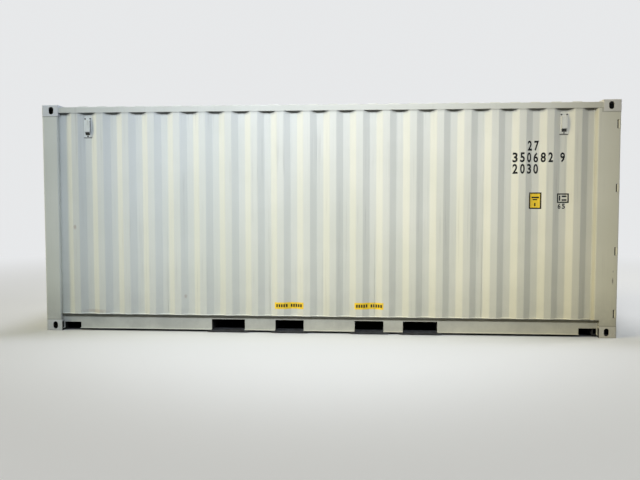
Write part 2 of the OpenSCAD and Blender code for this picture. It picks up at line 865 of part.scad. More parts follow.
module door_frame() {
    color(paint) rear_left() {
        leaf_tube_upright(leaf_y0);
        leaf_tube_upright(leaf_y1 - stile_w);
        leaf_channel_level(leaf_z0);
        leaf_channel_level(leaf_z1 - leaf_rail_h);
    }
}

module door_panel() {
    out = door_recess + leaf_panel_recess;
    in = out + leaf_depth;
    start = leaf_mid - (leaf_waves - 1) * leaf_wave_pitch / 2 - wall_outer / 2;
    middle = waves(start, leaf_waves, wall_outer, wall_inner, wall_slope, out, in);
    path = concat([[leaf_y0 + stile_w, in]], middle, [[leaf_y1 - stile_w, in]]);
    color(paint) rear_left() along_z(leaf_z0 + leaf_rail_h, leaf_z1 - leaf_rail_h)
        polygon([for (p = folded(path, leaf_panel_t, sheet_bend_r)) [p[1], p[0]]]);
}

module door_seal() {
    x1 = door_recess + leaf_t;
    color(rubber) rear_left() difference() {
        block([x1 - seal_l, jamb_y + seal_gap, casting_h + seal_gap],
            [x1, half_w - seal_meeting_gap / 2, post_top - seal_gap]);
        block([x1 - seal_l - eps, leaf_y0, leaf_z0], [x1 + eps, leaf_y1, leaf_z1]);
    }
}

// Lock gear
module cam() {
    translate([0, 0, -cam_h / 2]) linear_extrude(cam_h) {
        circle(rod_r, $fn = 40);
        square([cam_t, 2 * cam_half], center = true);
    }
}

module lock_rods() {
    color(plated) rear_left() for (y = rod_places) {
        translate([rod_x, y, 0]) difference() {
            union() {
                along_z(rod_ends[0], rod_ends[1]) circle(rod_r, $fn = 40);
                for (z = rod_ends) {
                    translate([0, 0, z]) cam();
                }
            }
            along_z(rod_ends[0] - cam_h, rod_ends[1] + cam_h) circle(rod_r - rod_t, $fn = 40);
        }
    }
}

module cam_keepers() {
    inside = cam_half + cam_gap;
    color(paint) both_sides() rear_left() for (y = rod_places, z = rod_ends) {
        along_z(z - keeper_h / 2, z + keeper_h / 2) difference() {
            translate([rod_x - cam_t / 2, y - inside - keeper_t])
                square([frame_x - rod_x + cam_t / 2, 2 * (inside + keeper_t)]);
            translate([rod_x - cam_t, y - inside])
                square([door_recess - rod_x + cam_t, 2 * inside]);
        }
    }
}

module rod_bracket(foot_x) {
    r = rod_r + sleeve_gap;
    outer = r + bracket_t;
    difference() {
        union() {
            circle(outer, $fn = 40);
            translate([0, -outer]) square([foot_x, 2 * outer]);
            translate([foot_x - bracket_t, -outer - bracket_foot])
                square([bracket_t, 2 * (outer + bracket_foot)]);
        }
        circle(r, $fn = 40);
    }
}

module rod_brackets() {
    color(plated) rear_left() for (y = rod_places, i = [0 : 3]) {
        on_panel = i == 1 || i == 2;
        foot_x = door_recess - rod_x + (on_panel ? leaf_panel_recess : 0);
        z = bracket_heights[i];
        translate([rod_x, y, 0]) along_z(z - bracket_h / 2, z + bracket_h / 2)
            rod_bracket(foot_x);
    }
}

module lock_handle(side) {
    r = rod_r + sleeve_gap;
    difference() {
        union() {
            cylinder(r = r + bracket_t, h = handle_h, center = true, $fn = 40);
            mirror([0, side < 0 ? 1 : 0, 0]) {
                block([-handle_t / 2, 0, -handle_h / 2], [handle_t / 2, handle_l, handle_h / 2]);
                translate([0, handle_l, 0]) rotate([0, 90, 0])
                    cylinder(d = handle_h, h = handle_t, center = true, $fn = 32);
            }
        }
        cylinder(r = r, h = handle_h + 2 * eps, center = true, $fn = 40);
    }
}

module handle_catch(z) {
    seat = door_recess + leaf_panel_recess;
    front = rod_x - handle_t / 2 - flap_gap;
    back = rod_x + handle_t / 2 + sleeve_gap;
    low = z - handle_h / 2 - sleeve_gap;
    high = z + handle_h / 2 + sleeve_gap;
    hole_z = low - 2 * catch_t - lock_hole_r;
    block([seat - catch_t, leaf_mid - catch_w / 2, low - 3 * catch_t],
        [seat, leaf_mid + catch_w / 2, high + 3 * catch_t]);
    block([back, leaf_mid - flap_w, low - 2 * catch_t], [seat, leaf_mid + flap_w, high + 2 * catch_t]);
    block([front, leaf_mid - flap_w, low - 2 * catch_t], [seat, leaf_mid + flap_w, low]);
    block([front, leaf_mid - flap_w / 2, high], [seat, leaf_mid + flap_w / 2, high + 2 * catch_t]);
    difference() {
        block([front - catch_t, leaf_mid - flap_w / 2, hole_z - 2 * lock_hole_r],
            [front, leaf_mid + flap_w / 2, high + 2 * catch_t]);
        translate([0, leaf_mid, hole_z]) rotate([0, 90, 0]) cylinder(r = lock_hole_r, h = seat, $fn = 32);
    }
}

module lock_handles() {
    color(plated) rear_left() for (i = [0, 1]) {
        z = handle_z + handle_step * (1 - i);
        translate([rod_x, rod_places[i], z]) lock_handle(i == 0 ? 1 : -1);
        handle_catch(z);
    }
}

// Lashing rings, bent bars on the rails inside
module lashing_ring(x, y, z) {
    translate([x, y, z]) {
        for (s = [-1, 1]) {
            translate([s * (ring_w / 2 - ring_r), 0, 0]) rotate([-90, 0, 0])
                cylinder(r = ring_r, h = ring_out, $fn = 24);
            translate([s * (ring_w / 2 - ring_r), ring_out, 0]) sphere(ring_r, $fn = 24);
        }
        translate([-ring_w / 2 + ring_r, ring_out, 0]) rotate([0, 90, 0])
            cylinder(r = ring_r, h = ring_w - 2 * ring_r, $fn = 24);
    }
}

module lashing_rings() {
    step = overall_l / (ring_count + 1);
    color(plated) both_sides() for (k = [1 : ring_count]) {
        x = k * step - half_l;
        lashing_ring(x, rail_in - half_w, (floor_top + rail_top) / 2);
        lashing_ring(x, top_rail_recess + top_rail_w - half_w, top_rail_z + top_rail_w / 2);
    }
}

castings_left();  // bottom_castings_left
right_side() castings_left();  // bottom_castings_right
top_end() castings_left();  // top_castings_left
right_side() top_end() castings_left();  // top_castings_right
front_post();  // front_post_left
right_side() front_post();  // front_post_right
rear_post();  // rear_post_left
right_side() rear_post();  // rear_post_right
rear_post_channels();
bottom_rail();  // bottom_rail_left
right_side() bottom_rail();  // bottom_rail_right
top_rail();  // top_rail_left
right_side() top_rail();  // top_rail_right
front_sill();
front_header();
front_wall();
side_wall();  // left_wall
right_side() side_wall();  // right_wall
roof();
roof_corner_plates();
door_header();
door_sill();
cross_members();
fork_pocket_plates();
floor_boards();
floor_bar();
ventilators();
hinge_lugs();
cam_keepers();
lashing_rings();
door_frame();  // left_door_frame
door_panel();  // left_door_panel
door_seal();  // left_door_seal
door_hinges();  // left_door_hinges
lock_rods();  // left_lock_rods
rod_brackets();  // left_rod_brackets
lock_handles();  // left_lock_handles
right_side() door_frame();  // right_door_frame
right_side() door_panel();  // right_door_panel
right_side() door_seal();  // right_door_seal
right_side() door_hinges();  // right_door_hinges
right_side() lock_rods();  // right_lock_rods
right_side() rod_brackets();  // right_rod_brackets
right_side() lock_handles();  // right_lock_handles
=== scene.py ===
import math

import bmesh
import bpy
from mathutils import Matrix, Vector
from mathutils.bvhtree import BVHTree


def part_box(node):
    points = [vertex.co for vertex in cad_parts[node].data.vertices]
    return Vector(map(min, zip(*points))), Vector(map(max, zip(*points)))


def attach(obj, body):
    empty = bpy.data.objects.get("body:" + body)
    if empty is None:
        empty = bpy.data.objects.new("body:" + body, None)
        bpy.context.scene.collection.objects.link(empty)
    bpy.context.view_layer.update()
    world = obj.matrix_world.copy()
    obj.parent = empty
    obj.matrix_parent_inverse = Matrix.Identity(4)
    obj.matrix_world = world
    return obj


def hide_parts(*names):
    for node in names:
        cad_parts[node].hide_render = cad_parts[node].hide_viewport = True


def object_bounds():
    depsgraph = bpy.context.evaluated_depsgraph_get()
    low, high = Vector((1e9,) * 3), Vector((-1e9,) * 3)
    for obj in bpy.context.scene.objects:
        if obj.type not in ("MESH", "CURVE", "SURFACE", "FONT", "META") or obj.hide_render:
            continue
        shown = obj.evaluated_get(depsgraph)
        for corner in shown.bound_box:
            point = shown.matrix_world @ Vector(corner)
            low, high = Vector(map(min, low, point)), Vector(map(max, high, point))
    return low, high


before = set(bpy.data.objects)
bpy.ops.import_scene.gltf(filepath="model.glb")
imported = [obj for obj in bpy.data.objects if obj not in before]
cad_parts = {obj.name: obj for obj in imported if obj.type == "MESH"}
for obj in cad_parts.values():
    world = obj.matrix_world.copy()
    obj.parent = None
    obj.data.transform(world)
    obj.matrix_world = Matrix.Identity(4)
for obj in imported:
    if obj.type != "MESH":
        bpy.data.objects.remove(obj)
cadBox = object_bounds()
boxLow, boxHigh = cadBox
scene = bpy.context.scene
print("frame loaded:", len(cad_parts), "nodes")

tiny = 1e-5  # vertices closer than this are one
cutJoin = 0.0004  # and in the outline of a cut, these
frontX = boxLow.x  # the blank end
doorX = boxHigh.x  # the door end
sideY = boxLow.y  # the photographed side
halfWide = -sideY
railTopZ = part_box("bottom_rail_left")[1].z
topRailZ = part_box("top_rail_left")[0].z
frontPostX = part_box("front_post_left")[1].x
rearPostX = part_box("rear_post_left")[0].x


# Camera, at the photograph's viewpoint
cameraPlan = {"place": (0.517, -8.524, 1.429), "tilt": (86.653, 0.009, 4.286), "focalPixels": 696.5}
imageWide = 640


def makeCamera(plan):
    data = bpy.data.cameras.new("viewCamera")
    data.sensor_width = 36
    data.lens = plan["focalPixels"] * data.sensor_width / imageWide
    data.clip_end = 200
    camera = bpy.data.objects.new("viewCamera", data)
    camera.location = plan["place"]
    camera.rotation_euler = [math.radians(angle) for angle in plan["tilt"]]
    scene.collection.objects.link(camera)
    scene.camera = camera


makeCamera(cameraPlan)
print("camera made")


# Shapes read from the CAD nodes
def solidCopy(nodeName):
    bm = bmesh.new()
    bm.from_mesh(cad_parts[nodeName].data)
    bmesh.ops.remove_doubles(bm, verts=bm.verts, dist=tiny)
    return bm


def islandBoxes(nodeName):
    bm = solidCopy(nodeName)
    left = set(bm.verts)
    boxes = []
    while left:
        seed = left.pop()
        group, edgeOfGroup = [seed], [seed]
        while edgeOfGroup:
            vert = edgeOfGroup.pop()
            for edge in vert.link_edges:
                other = edge.other_vert(vert)
                if other in left:
                    left.remove(other)
                    group.append(other)
                    edgeOfGroup.append(other)
        low = Vector([min(v.co[i] for v in group) for i in range(3)])
        high = Vector([max(v.co[i] for v in group) for i in range(3)])
        boxes.append((low, high))
    bm.free()
    return sorted(boxes, key=lambda pair: [round(c, 3) for c in pair[0]])


# Node helpers
def newMaterial(name):
    material = bpy.data.materials.new(name)
    material.use_nodes = True
    tree = material.node_tree
    tree.nodes.clear()
    output = tree.nodes.new("ShaderNodeOutputMaterial")
    shader = tree.nodes.new("ShaderNodeBsdfPrincipled")
    tree.links.new(shader.outputs[0], output.inputs[0])
    return material, tree, shader


def feed(tree, socket, value):
    if isinstance(value, bpy.types.NodeSocket):
        tree.links.new(value, socket)
    else:
        socket.default_value = value


def objectPoint(tree):
    return tree.nodes.new("ShaderNodeTexCoord").outputs["Object"]


def scaled(tree, point, scale):
    node = tree.nodes.new("ShaderNodeMapping")
    feed(tree, node.inputs["Vector"], point)
    node.inputs["Scale"].default_value = scale
    return node.outputs[0]


def noise(tree, point, scale, detail=3.0, rough=0.5, stretch=None, twist=0.0):
    node = tree.nodes.new("ShaderNodeTexNoise")
    feed(tree, node.inputs["Vector"], scaled(tree, point, stretch) if stretch else point)
    node.inputs["Scale"].default_value = scale
    node.inputs["Detail"].default_value = detail
    node.inputs["Roughness"].default_value = rough
    node.inputs["Distortion"].default_value = twist
    return node.outputs["Fac"]


def ramp(tree, value, low, high, toLow=0.0, toHigh=1.0):
    node = tree.nodes.new("ShaderNodeMapRange")
    node.interpolation_type = "SMOOTHSTEP"
    feed(tree, node.inputs["Value"], value)
    for name, number in zip(("From Min", "From Max", "To Min", "To Max"), (low, high, toLow, toHigh)):
        node.inputs[name].default_value = number
    return node.outputs[0]


def above(tree, value, level, soft=0.001):
    return ramp(tree, value, level - soft, level + soft)


def below(tree, value, level, soft=0.001):
    return ramp(tree, value, level - soft, level + soft, 1.0, 0.0)


def maths(tree, operation, a, b=0.0, clamp=False):
    node = tree.nodes.new("ShaderNodeMath")
    node.operation = operation
    node.use_clamp = clamp
    feed(tree, node.inputs[0], a)
    feed(tree, node.inputs[1], b)
    return node.outputs[0]


def times(tree, *values):
    total = values[0]
    for value in values[1:]:
        total = maths(tree, "MULTIPLY", total, value)
    return total


def mixed(tree, share, a, b):
    node = tree.nodes.new("ShaderNodeMix")
    node.data_type = "RGBA"
    feed(tree, node.inputs["Factor"], share)
    feed(tree, node.inputs[6], a)
    feed(tree, node.inputs[7], b)
    return node.outputs[2]


def larger(tree, a, b):
    return maths(tree, "MAXIMUM", a, b)


def minus(tree, a, b):
    return maths(tree, "SUBTRACT", a, b)


def absolute(tree, value):
    return maths(tree, "ABSOLUTE", value)


def axesOf(tree, point):
    node = tree.nodes.new("ShaderNodeSeparateXYZ")
    feed(tree, node.inputs[0], point)
    return node.outputs[0], node.outputs[1], node.outputs[2]


def facing(tree):
    return axesOf(tree, tree.nodes.new("ShaderNodeNewGeometry").outputs["Normal"])


def lengthOf(tree, vector):
    node = tree.nodes.new("ShaderNodeVectorMath")
    node.operation = "LENGTH"
    feed(tree, node.inputs[0], vector)
    return node.outputs["Value"]


def bumped(tree, height, distance, strength=1.0, under=None):
    node = tree.nodes.new("ShaderNodeBump")
    feed(tree, node.inputs["Height"], height)
    node.inputs["Distance"].default_value = distance
    node.inputs["Strength"].default_value = strength
    if under is not None:
        feed(tree, node.inputs["Normal"], under)
    return node.outputs[0]


def edgeWear(tree, radius, low, high):
    bevel = tree.nodes.new("ShaderNodeBevel")
    bevel.samples = 4
    bevel.inputs["Radius"].default_value = radius
    plain = tree.nodes.new("ShaderNodeNewGeometry").outputs["Normal"]
    dot = tree.nodes.new("ShaderNodeVectorMath")
    dot.operation = "DOT_PRODUCT"
    feed(tree, dot.inputs[0], bevel.outputs[0])
    feed(tree, dot.inputs[1], plain)
    return ramp(tree, dot.outputs["Value"], low, high, 1.0, 0.0)


def colour(red, green, blue):
    return (red, green, blue, 1.0)


# Paint: one recipe, with a look for each group of pieces
paintLooks = {
    "panelPaint": {"tint": colour(0.710, 0.708, 0.635), "waviness": 0.0012, "streaks": 0.10, "rust": 0.0,
                   "chips": 0.0, "dustTop": 0.85, "dust": 0.30},
    "framePaint": {"tint": colour(0.705, 0.705, 0.630), "waviness": 0.0003, "streaks": 0.06, "rust": 0.25,
                   "chips": 0.35, "dustTop": 0.60, "dust": 0.75},
    # the rails: the frame paint darkened as painted shade
    "railShadedPaint": {"tint": colour(0.620, 0.620, 0.553), "waviness": 0.0003, "streaks": 0.06, "rust": 0.25,
                  "chips": 0.35, "dustTop": 0.60, "dust": 0.75},
    "castingPaint": {"tint": colour(0.700, 0.700, 0.690), "waviness": 0.0009, "streaks": 0.05, "rust": 0.5,
                     "chips": 0.9, "dustTop": 0.35, "dust": 0.40},
    "doorPaint": {"tint": colour(0.700, 0.698, 0.620), "waviness": 0.0008, "streaks": 0.10, "rust": 0.1,
                  "chips": 0.25, "dustTop": 0.60, "dust": 0.5},
    "roofPaint": {"tint": colour(0.690, 0.690, 0.620), "waviness": 0.0015, "streaks": 0.0, "rust": 0.1,
                  "chips": 0.1, "dustTop": 0.10, "dust": 0.0},
    # the weld along the wall's foot: paler than the wall as a painted highlight on its top
    "beadHighlightPaint": {"tint": colour(0.84, 0.84, 0.78), "waviness": 0.0, "streaks": 0.0, "rust": 0.0,
                  "chips": 0.0, "dustTop": 0.10, "dust": 0.0},
}
dirtAndShadeColours = {"dust": colour(0.345, 0.340, 0.325), "grime": colour(0.22, 0.21, 0.19),
               "rust": colour(0.23, 0.085, 0.03), "primer": colour(0.30, 0.31, 0.32),
               "deepShade": colour(0.016, 0.015, 0.014), "speck": colour(0.86, 0.88, 0.92)}

# Painted light and shade: how the paint of the photographed side changes with each metre, in red, green and
# blue, as the light along it does
paintedLightPlan = {"byLength": (0.018, 0.0, -0.035), "byHeight": (0.045, 0.055, 0.105), "middle": 1.2,
            "inner": (0.069, 0.169)}

# Painted shade and shadow under the ledges, the top rails and the rails' undersides, below the ventilators,
# beside the castings and on the rear post's slope
paintedShadePlan = {"tint": colour(0.085, 0.083, 0.076), "below": 0.042, "deepest": 0.72, "ledge": (0.020, 0.030),
             "wallBelow": 0.038, "wallDeepest": 0.60, "recess": (0.012, 0.030), "outerShare": 0.25,
             "underShare": 0.75,
             "seamShare": 0.36, "seamAway": 0.010, "castingLong": 0.19,
             "slopeShare": 0.20, "slopeInner": (0.05, 0.10),
             "ventShare": 0.75, "ventHalf": 0.044, "ventLine": (-0.010, 0.005)}

# Painted shade: dark insides of the castings and of the hinge slots, where little light reaches
insideShadePlan = {"skin": 0.004, "soft": 0.006, "lowTop": 0.10,
              "slotOut": (0.006, 0.013), "slotIn": (0.044, 0.046),
              "slotEnd": (0.006, 0.014), "slotDeep": (0.076, 0.080)}

# Marks on the photographed side, by x and z: scuffs on the rear post, brown marks on the wall
paintSpots = {
    "framePaint": [
        {"place": (2.977, 0.590), "size": (0.010, 0.042), "share": 0.90},
        {"place": (2.980, 0.690), "size": (0.006, 0.014), "share": 0.70},
    ],
    "panelPaint": [
        {"place": (-2.690, 1.130), "size": (0.022, 0.034), "share": 0.35},
        {"place": (-1.485, 0.385), "size": (0.018, 0.026), "share": 0.35},
        {"place": (-2.480, 0.215), "size": (0.180, 0.026), "share": 0.25},
    ],
}
spotColours = {"framePaint": "grime", "panelPaint": "rust"}
spotInner = (0.119, 0.219)


# Full on the photographed side, fading between two distances inwards from it
def nearSide(tree, y, inner):
    return ramp(tree, y, sideY + inner[0], sideY + inner[1], 1.0, 0.0)


def depthOf(tree, y):
    return minus(tree, halfWide, absolute(tree, y))


def insideShare(tree, point, middle, reach, soft):
    x, y, z = axesOf(tree, point)
    share = None
    for value, centre, half in zip((absolute(tree, x), absolute(tree, y), z), middle, reach):
        away = absolute(tree, minus(tree, value, centre))
        here = ramp(tree, away, half - soft, half, 1.0, 0.0)
        share = here if share is None else times(tree, share, here)
    return share


# Painted shade inside the castings and on the inner faces of the bottom castings
def castingInsideShade(tree, point, plan):
    skin = Vector((1, 1, 1)) * plan["skin"]
    total = None
    for nodeName in ("bottom_castings_left", "top_castings_left"):
        low, high = islandBoxes(nodeName)[-1]
        middle = (low + high) / 2
        place = (abs(middle.x), abs(middle.y), middle.z)
        here = insideShare(tree, point, place, (high - low) / 2 - skin, plan["soft"])
        total = here if total is None else larger(tree, total, here)
    x, z = axesOf(tree, point)[::2]
    innerX = abs(low.x)
    inward = times(tree, ramp(tree, absolute(tree, x), innerX + 0.0005, innerX + 0.002, 1.0, 0.0),
                   below(tree, z, plan["lowTop"], 0.01))
    return larger(tree, total, inward)


# Painted shade deep in the hinge slots
def hingeSlotShade(tree, point, plan):
    x, y = axesOf(tree, point)[:2]
    depth = depthOf(tree, y)
    back = minus(tree, doorX, x)
    return times(tree, ramp(tree, depth, *plan["slotOut"]), ramp(tree, depth, *plan["slotIn"], 1.0, 0.0),
                 ramp(tree, back, *plan["slotEnd"]), ramp(tree, back, *plan["slotDeep"], 1.0, 0.0))


# Painted light and shade: the near side's colour is tinted along its length and height
def paintedLightGradient(tree, point, base, plan):
    x, y, z = axesOf(tree, point)
    high = minus(tree, z, plan["middle"])
    factor = tree.nodes.new("ShaderNodeCombineXYZ")
    for axis, (along, up) in enumerate(zip(plan["byLength"], plan["byHeight"])):
        change = maths(tree, "ADD", times(tree, x, along), times(tree, high, up))
        feed(tree, factor.inputs[axis], maths(tree, "ADD", change, 1.0))
    product = tree.nodes.new("ShaderNodeVectorMath")
    product.operation = "MULTIPLY"
    feed(tree, product.inputs[0], base)
    feed(tree, product.inputs[1], factor.outputs[0])
    return mixed(tree, nearSide(tree, y, plan["inner"]), base, product.outputs[0])


# Painted shadow on the wall under the top rails, deepest in the recesses
def wallShade(tree, point, plan):
    x, y, z = axesOf(tree, point)
    recess = ramp(tree, depthOf(tree, y), *plan["recess"], plan["outerShare"], 1.0)
    top = ramp(tree, z, topRailZ - plan["wallBelow"], topRailZ - 0.002)
    total = times(tree, top, recess, plan["wallDeepest"])
    lineLow, lineHigh = plan["ventLine"]
    # a painted shadow line just below each ventilator's plate
    for low, high in islandBoxes("ventilators"):
        if low.y > 0:
            continue
        across = absolute(tree, minus(tree, x, (low.x + high.x) / 2))
        rise = minus(tree, z, low.z)
        line = times(tree, below(tree, across, plan["ventHalf"], 0.004), above(tree, rise, lineLow),
                     below(tree, rise, lineHigh), plan["ventShare"])
        total = larger(tree, total, line)
    return total


# Painted shadow on the rails below the wall's foot ledge, fading downwards, and painted shade on the rails'
# undersides
def railShade(tree, point, plan):
    x, y, z = axesOf(tree, point)
    between = times(tree, above(tree, x, frontPostX, 0.002), below(tree, x, rearPostX, 0.002))
    ledge = times(tree, ramp(tree, z, railTopZ - plan["below"], railTopZ - 0.005),
                  ramp(tree, z, railTopZ, railTopZ + 0.001, 1.0, 0.0))
    outer = ramp(tree, depthOf(tree, y), *plan["ledge"], 1.0, 0.0)
    under = times(tree, ramp(tree, facing(tree)[2], -0.9, -0.3, 1.0, 0.0), plan["underShare"])
    return larger(tree, times(tree, ledge, outer, between, plan["deepest"]), under)


# Painted shadow lines on the posts next to the castings, and painted shade on the rear post's faces that turn
# towards the blank end
def postShade(tree, point, plan):
    x, y, z = axesOf(tree, point)
    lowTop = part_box("bottom_castings_left")[1].z + plan["seamAway"]
    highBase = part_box("top_castings_left")[0].z - plan["seamAway"]
    seam = larger(tree, below(tree, z, lowTop), above(tree, z, highBase))
    atEnd = doorX - plan["castingLong"]
    seam = times(tree, seam, ramp(tree, absolute(tree, x), atEnd - 0.01, atEnd), plan["seamShare"])
    slope = times(tree, ramp(tree, facing(tree)[0], -0.9, -0.3, 1.0, 0.0), ramp(tree, x, 0.0, 1.0),
                  nearSide(tree, y, plan["slopeInner"]), plan["slopeShare"])
    return seam, slope


def markedPaint(tree, point, base, name):
    x, y, z = axesOf(tree, point)
    for spot in paintSpots[name]:
        offset = tree.nodes.new("ShaderNodeCombineXYZ")
        for axis, value, centre, size in zip((0, 2), (x, z), spot["place"], spot["size"]):
            feed(tree, offset.inputs[axis], maths(tree, "DIVIDE", minus(tree, value, centre), size))
        away = lengthOf(tree, offset.outputs[0])
        ragged = maths(tree, "ADD", away, noise(tree, point, 50.0, 5.0, 0.7))
        blot = ramp(tree, ragged, 0.7, 1.6, 1.0, 0.0)
        mark = times(tree, blot, nearSide(tree, y, spotInner), spot["share"])
        base = mixed(tree, mark, base, dirtAndShadeColours[spotColours[name]])
    return base


def chippedPaint(tree, point, base, look):
    scuff = ramp(tree, noise(tree, point, 14.0, 8.0, 0.75), 0.70, 0.73)
    wear = times(tree, scuff, look["rust"] * 0.5)
    if look["chips"] > 0.2:
        edge = edgeWear(tree, 0.008, 0.90, 0.995)
        chip = times(tree, edge, ramp(tree, noise(tree, point, 38.0, 5.0, 0.7), 0.50, 0.56), look["chips"],
                     ramp(tree, noise(tree, point, 2.7, 2.0), 0.50, 0.62))
        base = mixed(tree, chip, base, dirtAndShadeColours["primer"])
        bare = times(tree, chip, ramp(tree, noise(tree, point, 9.0), 0.5, 0.6), 0.6)
        wear = maths(tree, "ADD", wear, bare, True)
    return mixed(tree, wear, base, dirtAndShadeColours["rust"])


def paint(name, look):
    material, tree, shader = newMaterial(name)
    point = objectPoint(tree)
    z = axesOf(tree, point)[2]
    red, green, blue = look["tint"][:3]
    deeper = colour(red * 0.93, green * 0.935, blue * 0.92)
    base = mixed(tree, ramp(tree, noise(tree, point, 1.3, 4.0), 0.3, 0.7), look["tint"], deeper)
    streak = noise(tree, point, 1.0, 5.0, 0.6, (34.0, 34.0, 0.7))
    runs = times(tree, ramp(tree, streak, 0.52, 0.78), ramp(tree, noise(tree, point, 2.1, 2.0), 0.35, 0.75))
    base = mixed(tree, times(tree, runs, look["streaks"] * 3.2), base, dirtAndShadeColours["grime"])
    low = ramp(tree, z, 0.02, look["dustTop"], 1.0, 0.0)
    cloud = ramp(tree, noise(tree, point, 5.0, 6.0, 0.65), 0.25, 0.75, 0.4, 1.0)
    dust = times(tree, low, cloud, look["dust"])
    if name == "railShadedPaint":
        dust = times(tree, dust, ramp(tree, facing(tree)[2], 0.5, 0.9, 1.0, 0.1))
    base = mixed(tree, dust, base, dirtAndShadeColours["dust"])
    speckle = ramp(tree, noise(tree, point, 60.0, 6.0, 0.7), 0.66, 0.72)
    base = mixed(tree, times(tree, speckle, 0.10), base, dirtAndShadeColours["grime"])
    base = chippedPaint(tree, point, base, look)
    if name in paintSpots:
        base = markedPaint(tree, point, base, name)
    # painted shade and shadow on the posts, the rails and the side walls
    if name == "framePaint":
        for shade in postShade(tree, point, paintedShadePlan):
            base = mixed(tree, shade, base, paintedShadePlan["tint"])
    if name == "railShadedPaint":
        base = mixed(tree, railShade(tree, point, paintedShadePlan), base, paintedShadePlan["tint"])
    if name == "panelPaint":
        base = mixed(tree, wallShade(tree, point, paintedShadePlan), base, paintedShadePlan["tint"])
    # painted light and shade along the near side
    base = paintedLightGradient(tree, point, base, paintedLightPlan)
    if name == "castingPaint":
        speck = ramp(tree, noise(tree, point, 45.0, 3.0, 0.8), 0.62, 0.66)
        base = mixed(tree, times(tree, speck, ramp(tree, z, 0.2, 0.3, 0.6, 0.15)), base, dirtAndShadeColours["speck"])
        # painted shade inside the castings
        base = mixed(tree, castingInsideShade(tree, point, insideShadePlan), base, dirtAndShadeColours["deepShade"])
    if name in ("framePaint", "doorPaint"):
        # painted shade in the hinge slots
        base = mixed(tree, hingeSlotShade(tree, point, insideShadePlan), base, dirtAndShadeColours["deepShade"])
    feed(tree, shader.inputs["Base Color"], base)
    rough = ramp(tree, noise(tree, point, 7.0, 5.0), 0.2, 0.8, 0.34, 0.50)
    feed(tree, shader.inputs["Roughness"], maths(tree, "ADD", rough, times(tree, dust, 0.6), True))
    peel = bumped(tree, noise(tree, point, 420.0, 2.0), 0.00012, 0.5)
    wave = noise(tree, point, 2.6, 2.0, 0.4, (1.0, 1.0, 0.45))
    feed(tree, shader.inputs["Normal"], bumped(tree, wave, look["waviness"] * 12, 0.35, peel))
    return material


# Dark coating of the underside, made darker still as painted shade of the underside and the fork pockets
underLook = {"coat": colour(0.030, 0.029, 0.028), "dust": colour(0.050, 0.048, 0.044),
             "strap": colour(0.060, 0.063, 0.067)}


def underCoatAndShade(look):
    material, tree, shader = newMaterial("underCoatAndShade")
    point = objectPoint(tree)
    z = axesOf(tree, point)[2]
    lumps = noise(tree, point, 26.0, 6.0, 0.6)
    coat = mixed(tree, ramp(tree, lumps, 0.45, 0.8), look["coat"], look["dust"])
    strapShare = ramp(tree, z, 0.0185, 0.0195, 1.0, 0.0)  # the straps under the pockets are paler, though still painted near black as shade
    strap = mixed(tree, ramp(tree, noise(tree, point, 18.0, 6.0), 0.4, 0.7), look["strap"], look["coat"])
    feed(tree, shader.inputs["Base Color"], mixed(tree, strapShare, coat, strap))
    feed(tree, shader.inputs["Roughness"], ramp(tree, lumps, 0.3, 0.7, 0.45, 0.8))
    feed(tree, shader.inputs["Normal"], bumped(tree, lumps, 0.002, 0.5))
    return material


# Galvanised steel of the lock gear
zincLook = {"dark": colour(0.42, 0.43, 0.44), "light": colour(0.54, 0.55, 0.56),
            "stain": colour(0.30, 0.24, 0.17)}


def zincSteel(look):
    material, tree, shader = newMaterial("zincSteel")
    point = objectPoint(tree)
    cells = tree.nodes.new("ShaderNodeTexVoronoi")
    feed(tree, cells.inputs["Vector"], point)
    cells.inputs["Scale"].default_value = 150.0
    spangle = axesOf(tree, cells.outputs["Color"])[0]
    base = mixed(tree, ramp(tree, spangle, 0.1, 0.9), look["dark"], look["light"])
    stain = ramp(tree, noise(tree, point, 11.0, 6.0, 0.65), 0.58, 0.75)
    base = mixed(tree, times(tree, stain, 0.45), base, look["stain"])
    feed(tree, shader.inputs["Base Color"], base)
    shader.inputs["Metallic"].default_value = 0.75
    rough = maths(tree, "ADD", ramp(tree, spangle, 0.0, 1.0, 0.38, 0.52), times(tree, stain, 0.25), True)
    feed(tree, shader.inputs["Roughness"], rough)
    feed(tree, shader.inputs["Normal"], bumped(tree, noise(tree, point, 180.0, 4.0), 0.0003, 0.4))
    return material


# Worn steel of the floor's centre bar and screws
wornLook = {"steel": colour(0.33, 0.31, 0.29), "dark": colour(0.12, 0.09, 0.07),
            "scratch": colour(0.5, 0.48, 0.46)}


def wornSteel(look):
    material, tree, shader = newMaterial("wornSteel")
    point = objectPoint(tree)
    scratch = noise(tree, point, 3.0, 8.0, 0.7, (1.0, 60.0, 20.0))
    patch = ramp(tree, noise(tree, point, 5.0, 6.0, 0.6), 0.42, 0.62)
    base = mixed(tree, patch, look["steel"], look["dark"])
    base = mixed(tree, times(tree, ramp(tree, scratch, 0.55, 0.7), 0.6), base, look["scratch"])
    feed(tree, shader.inputs["Base Color"], base)
    shader.inputs["Metallic"].default_value = 0.8
    feed(tree, shader.inputs["Roughness"], ramp(tree, scratch, 0.3, 0.7, 0.35, 0.65))
    feed(tree, shader.inputs["Normal"], bumped(tree, scratch, 0.0004, 0.5))
    return material


# Plywood of the floor
boardLook = {"face": colour(0.190, 0.085, 0.036), "grain": colour(0.105, 0.043, 0.018),
             "ply": colour(0.33, 0.20, 0.10), "scuff": colour(0.34, 0.25, 0.17)}


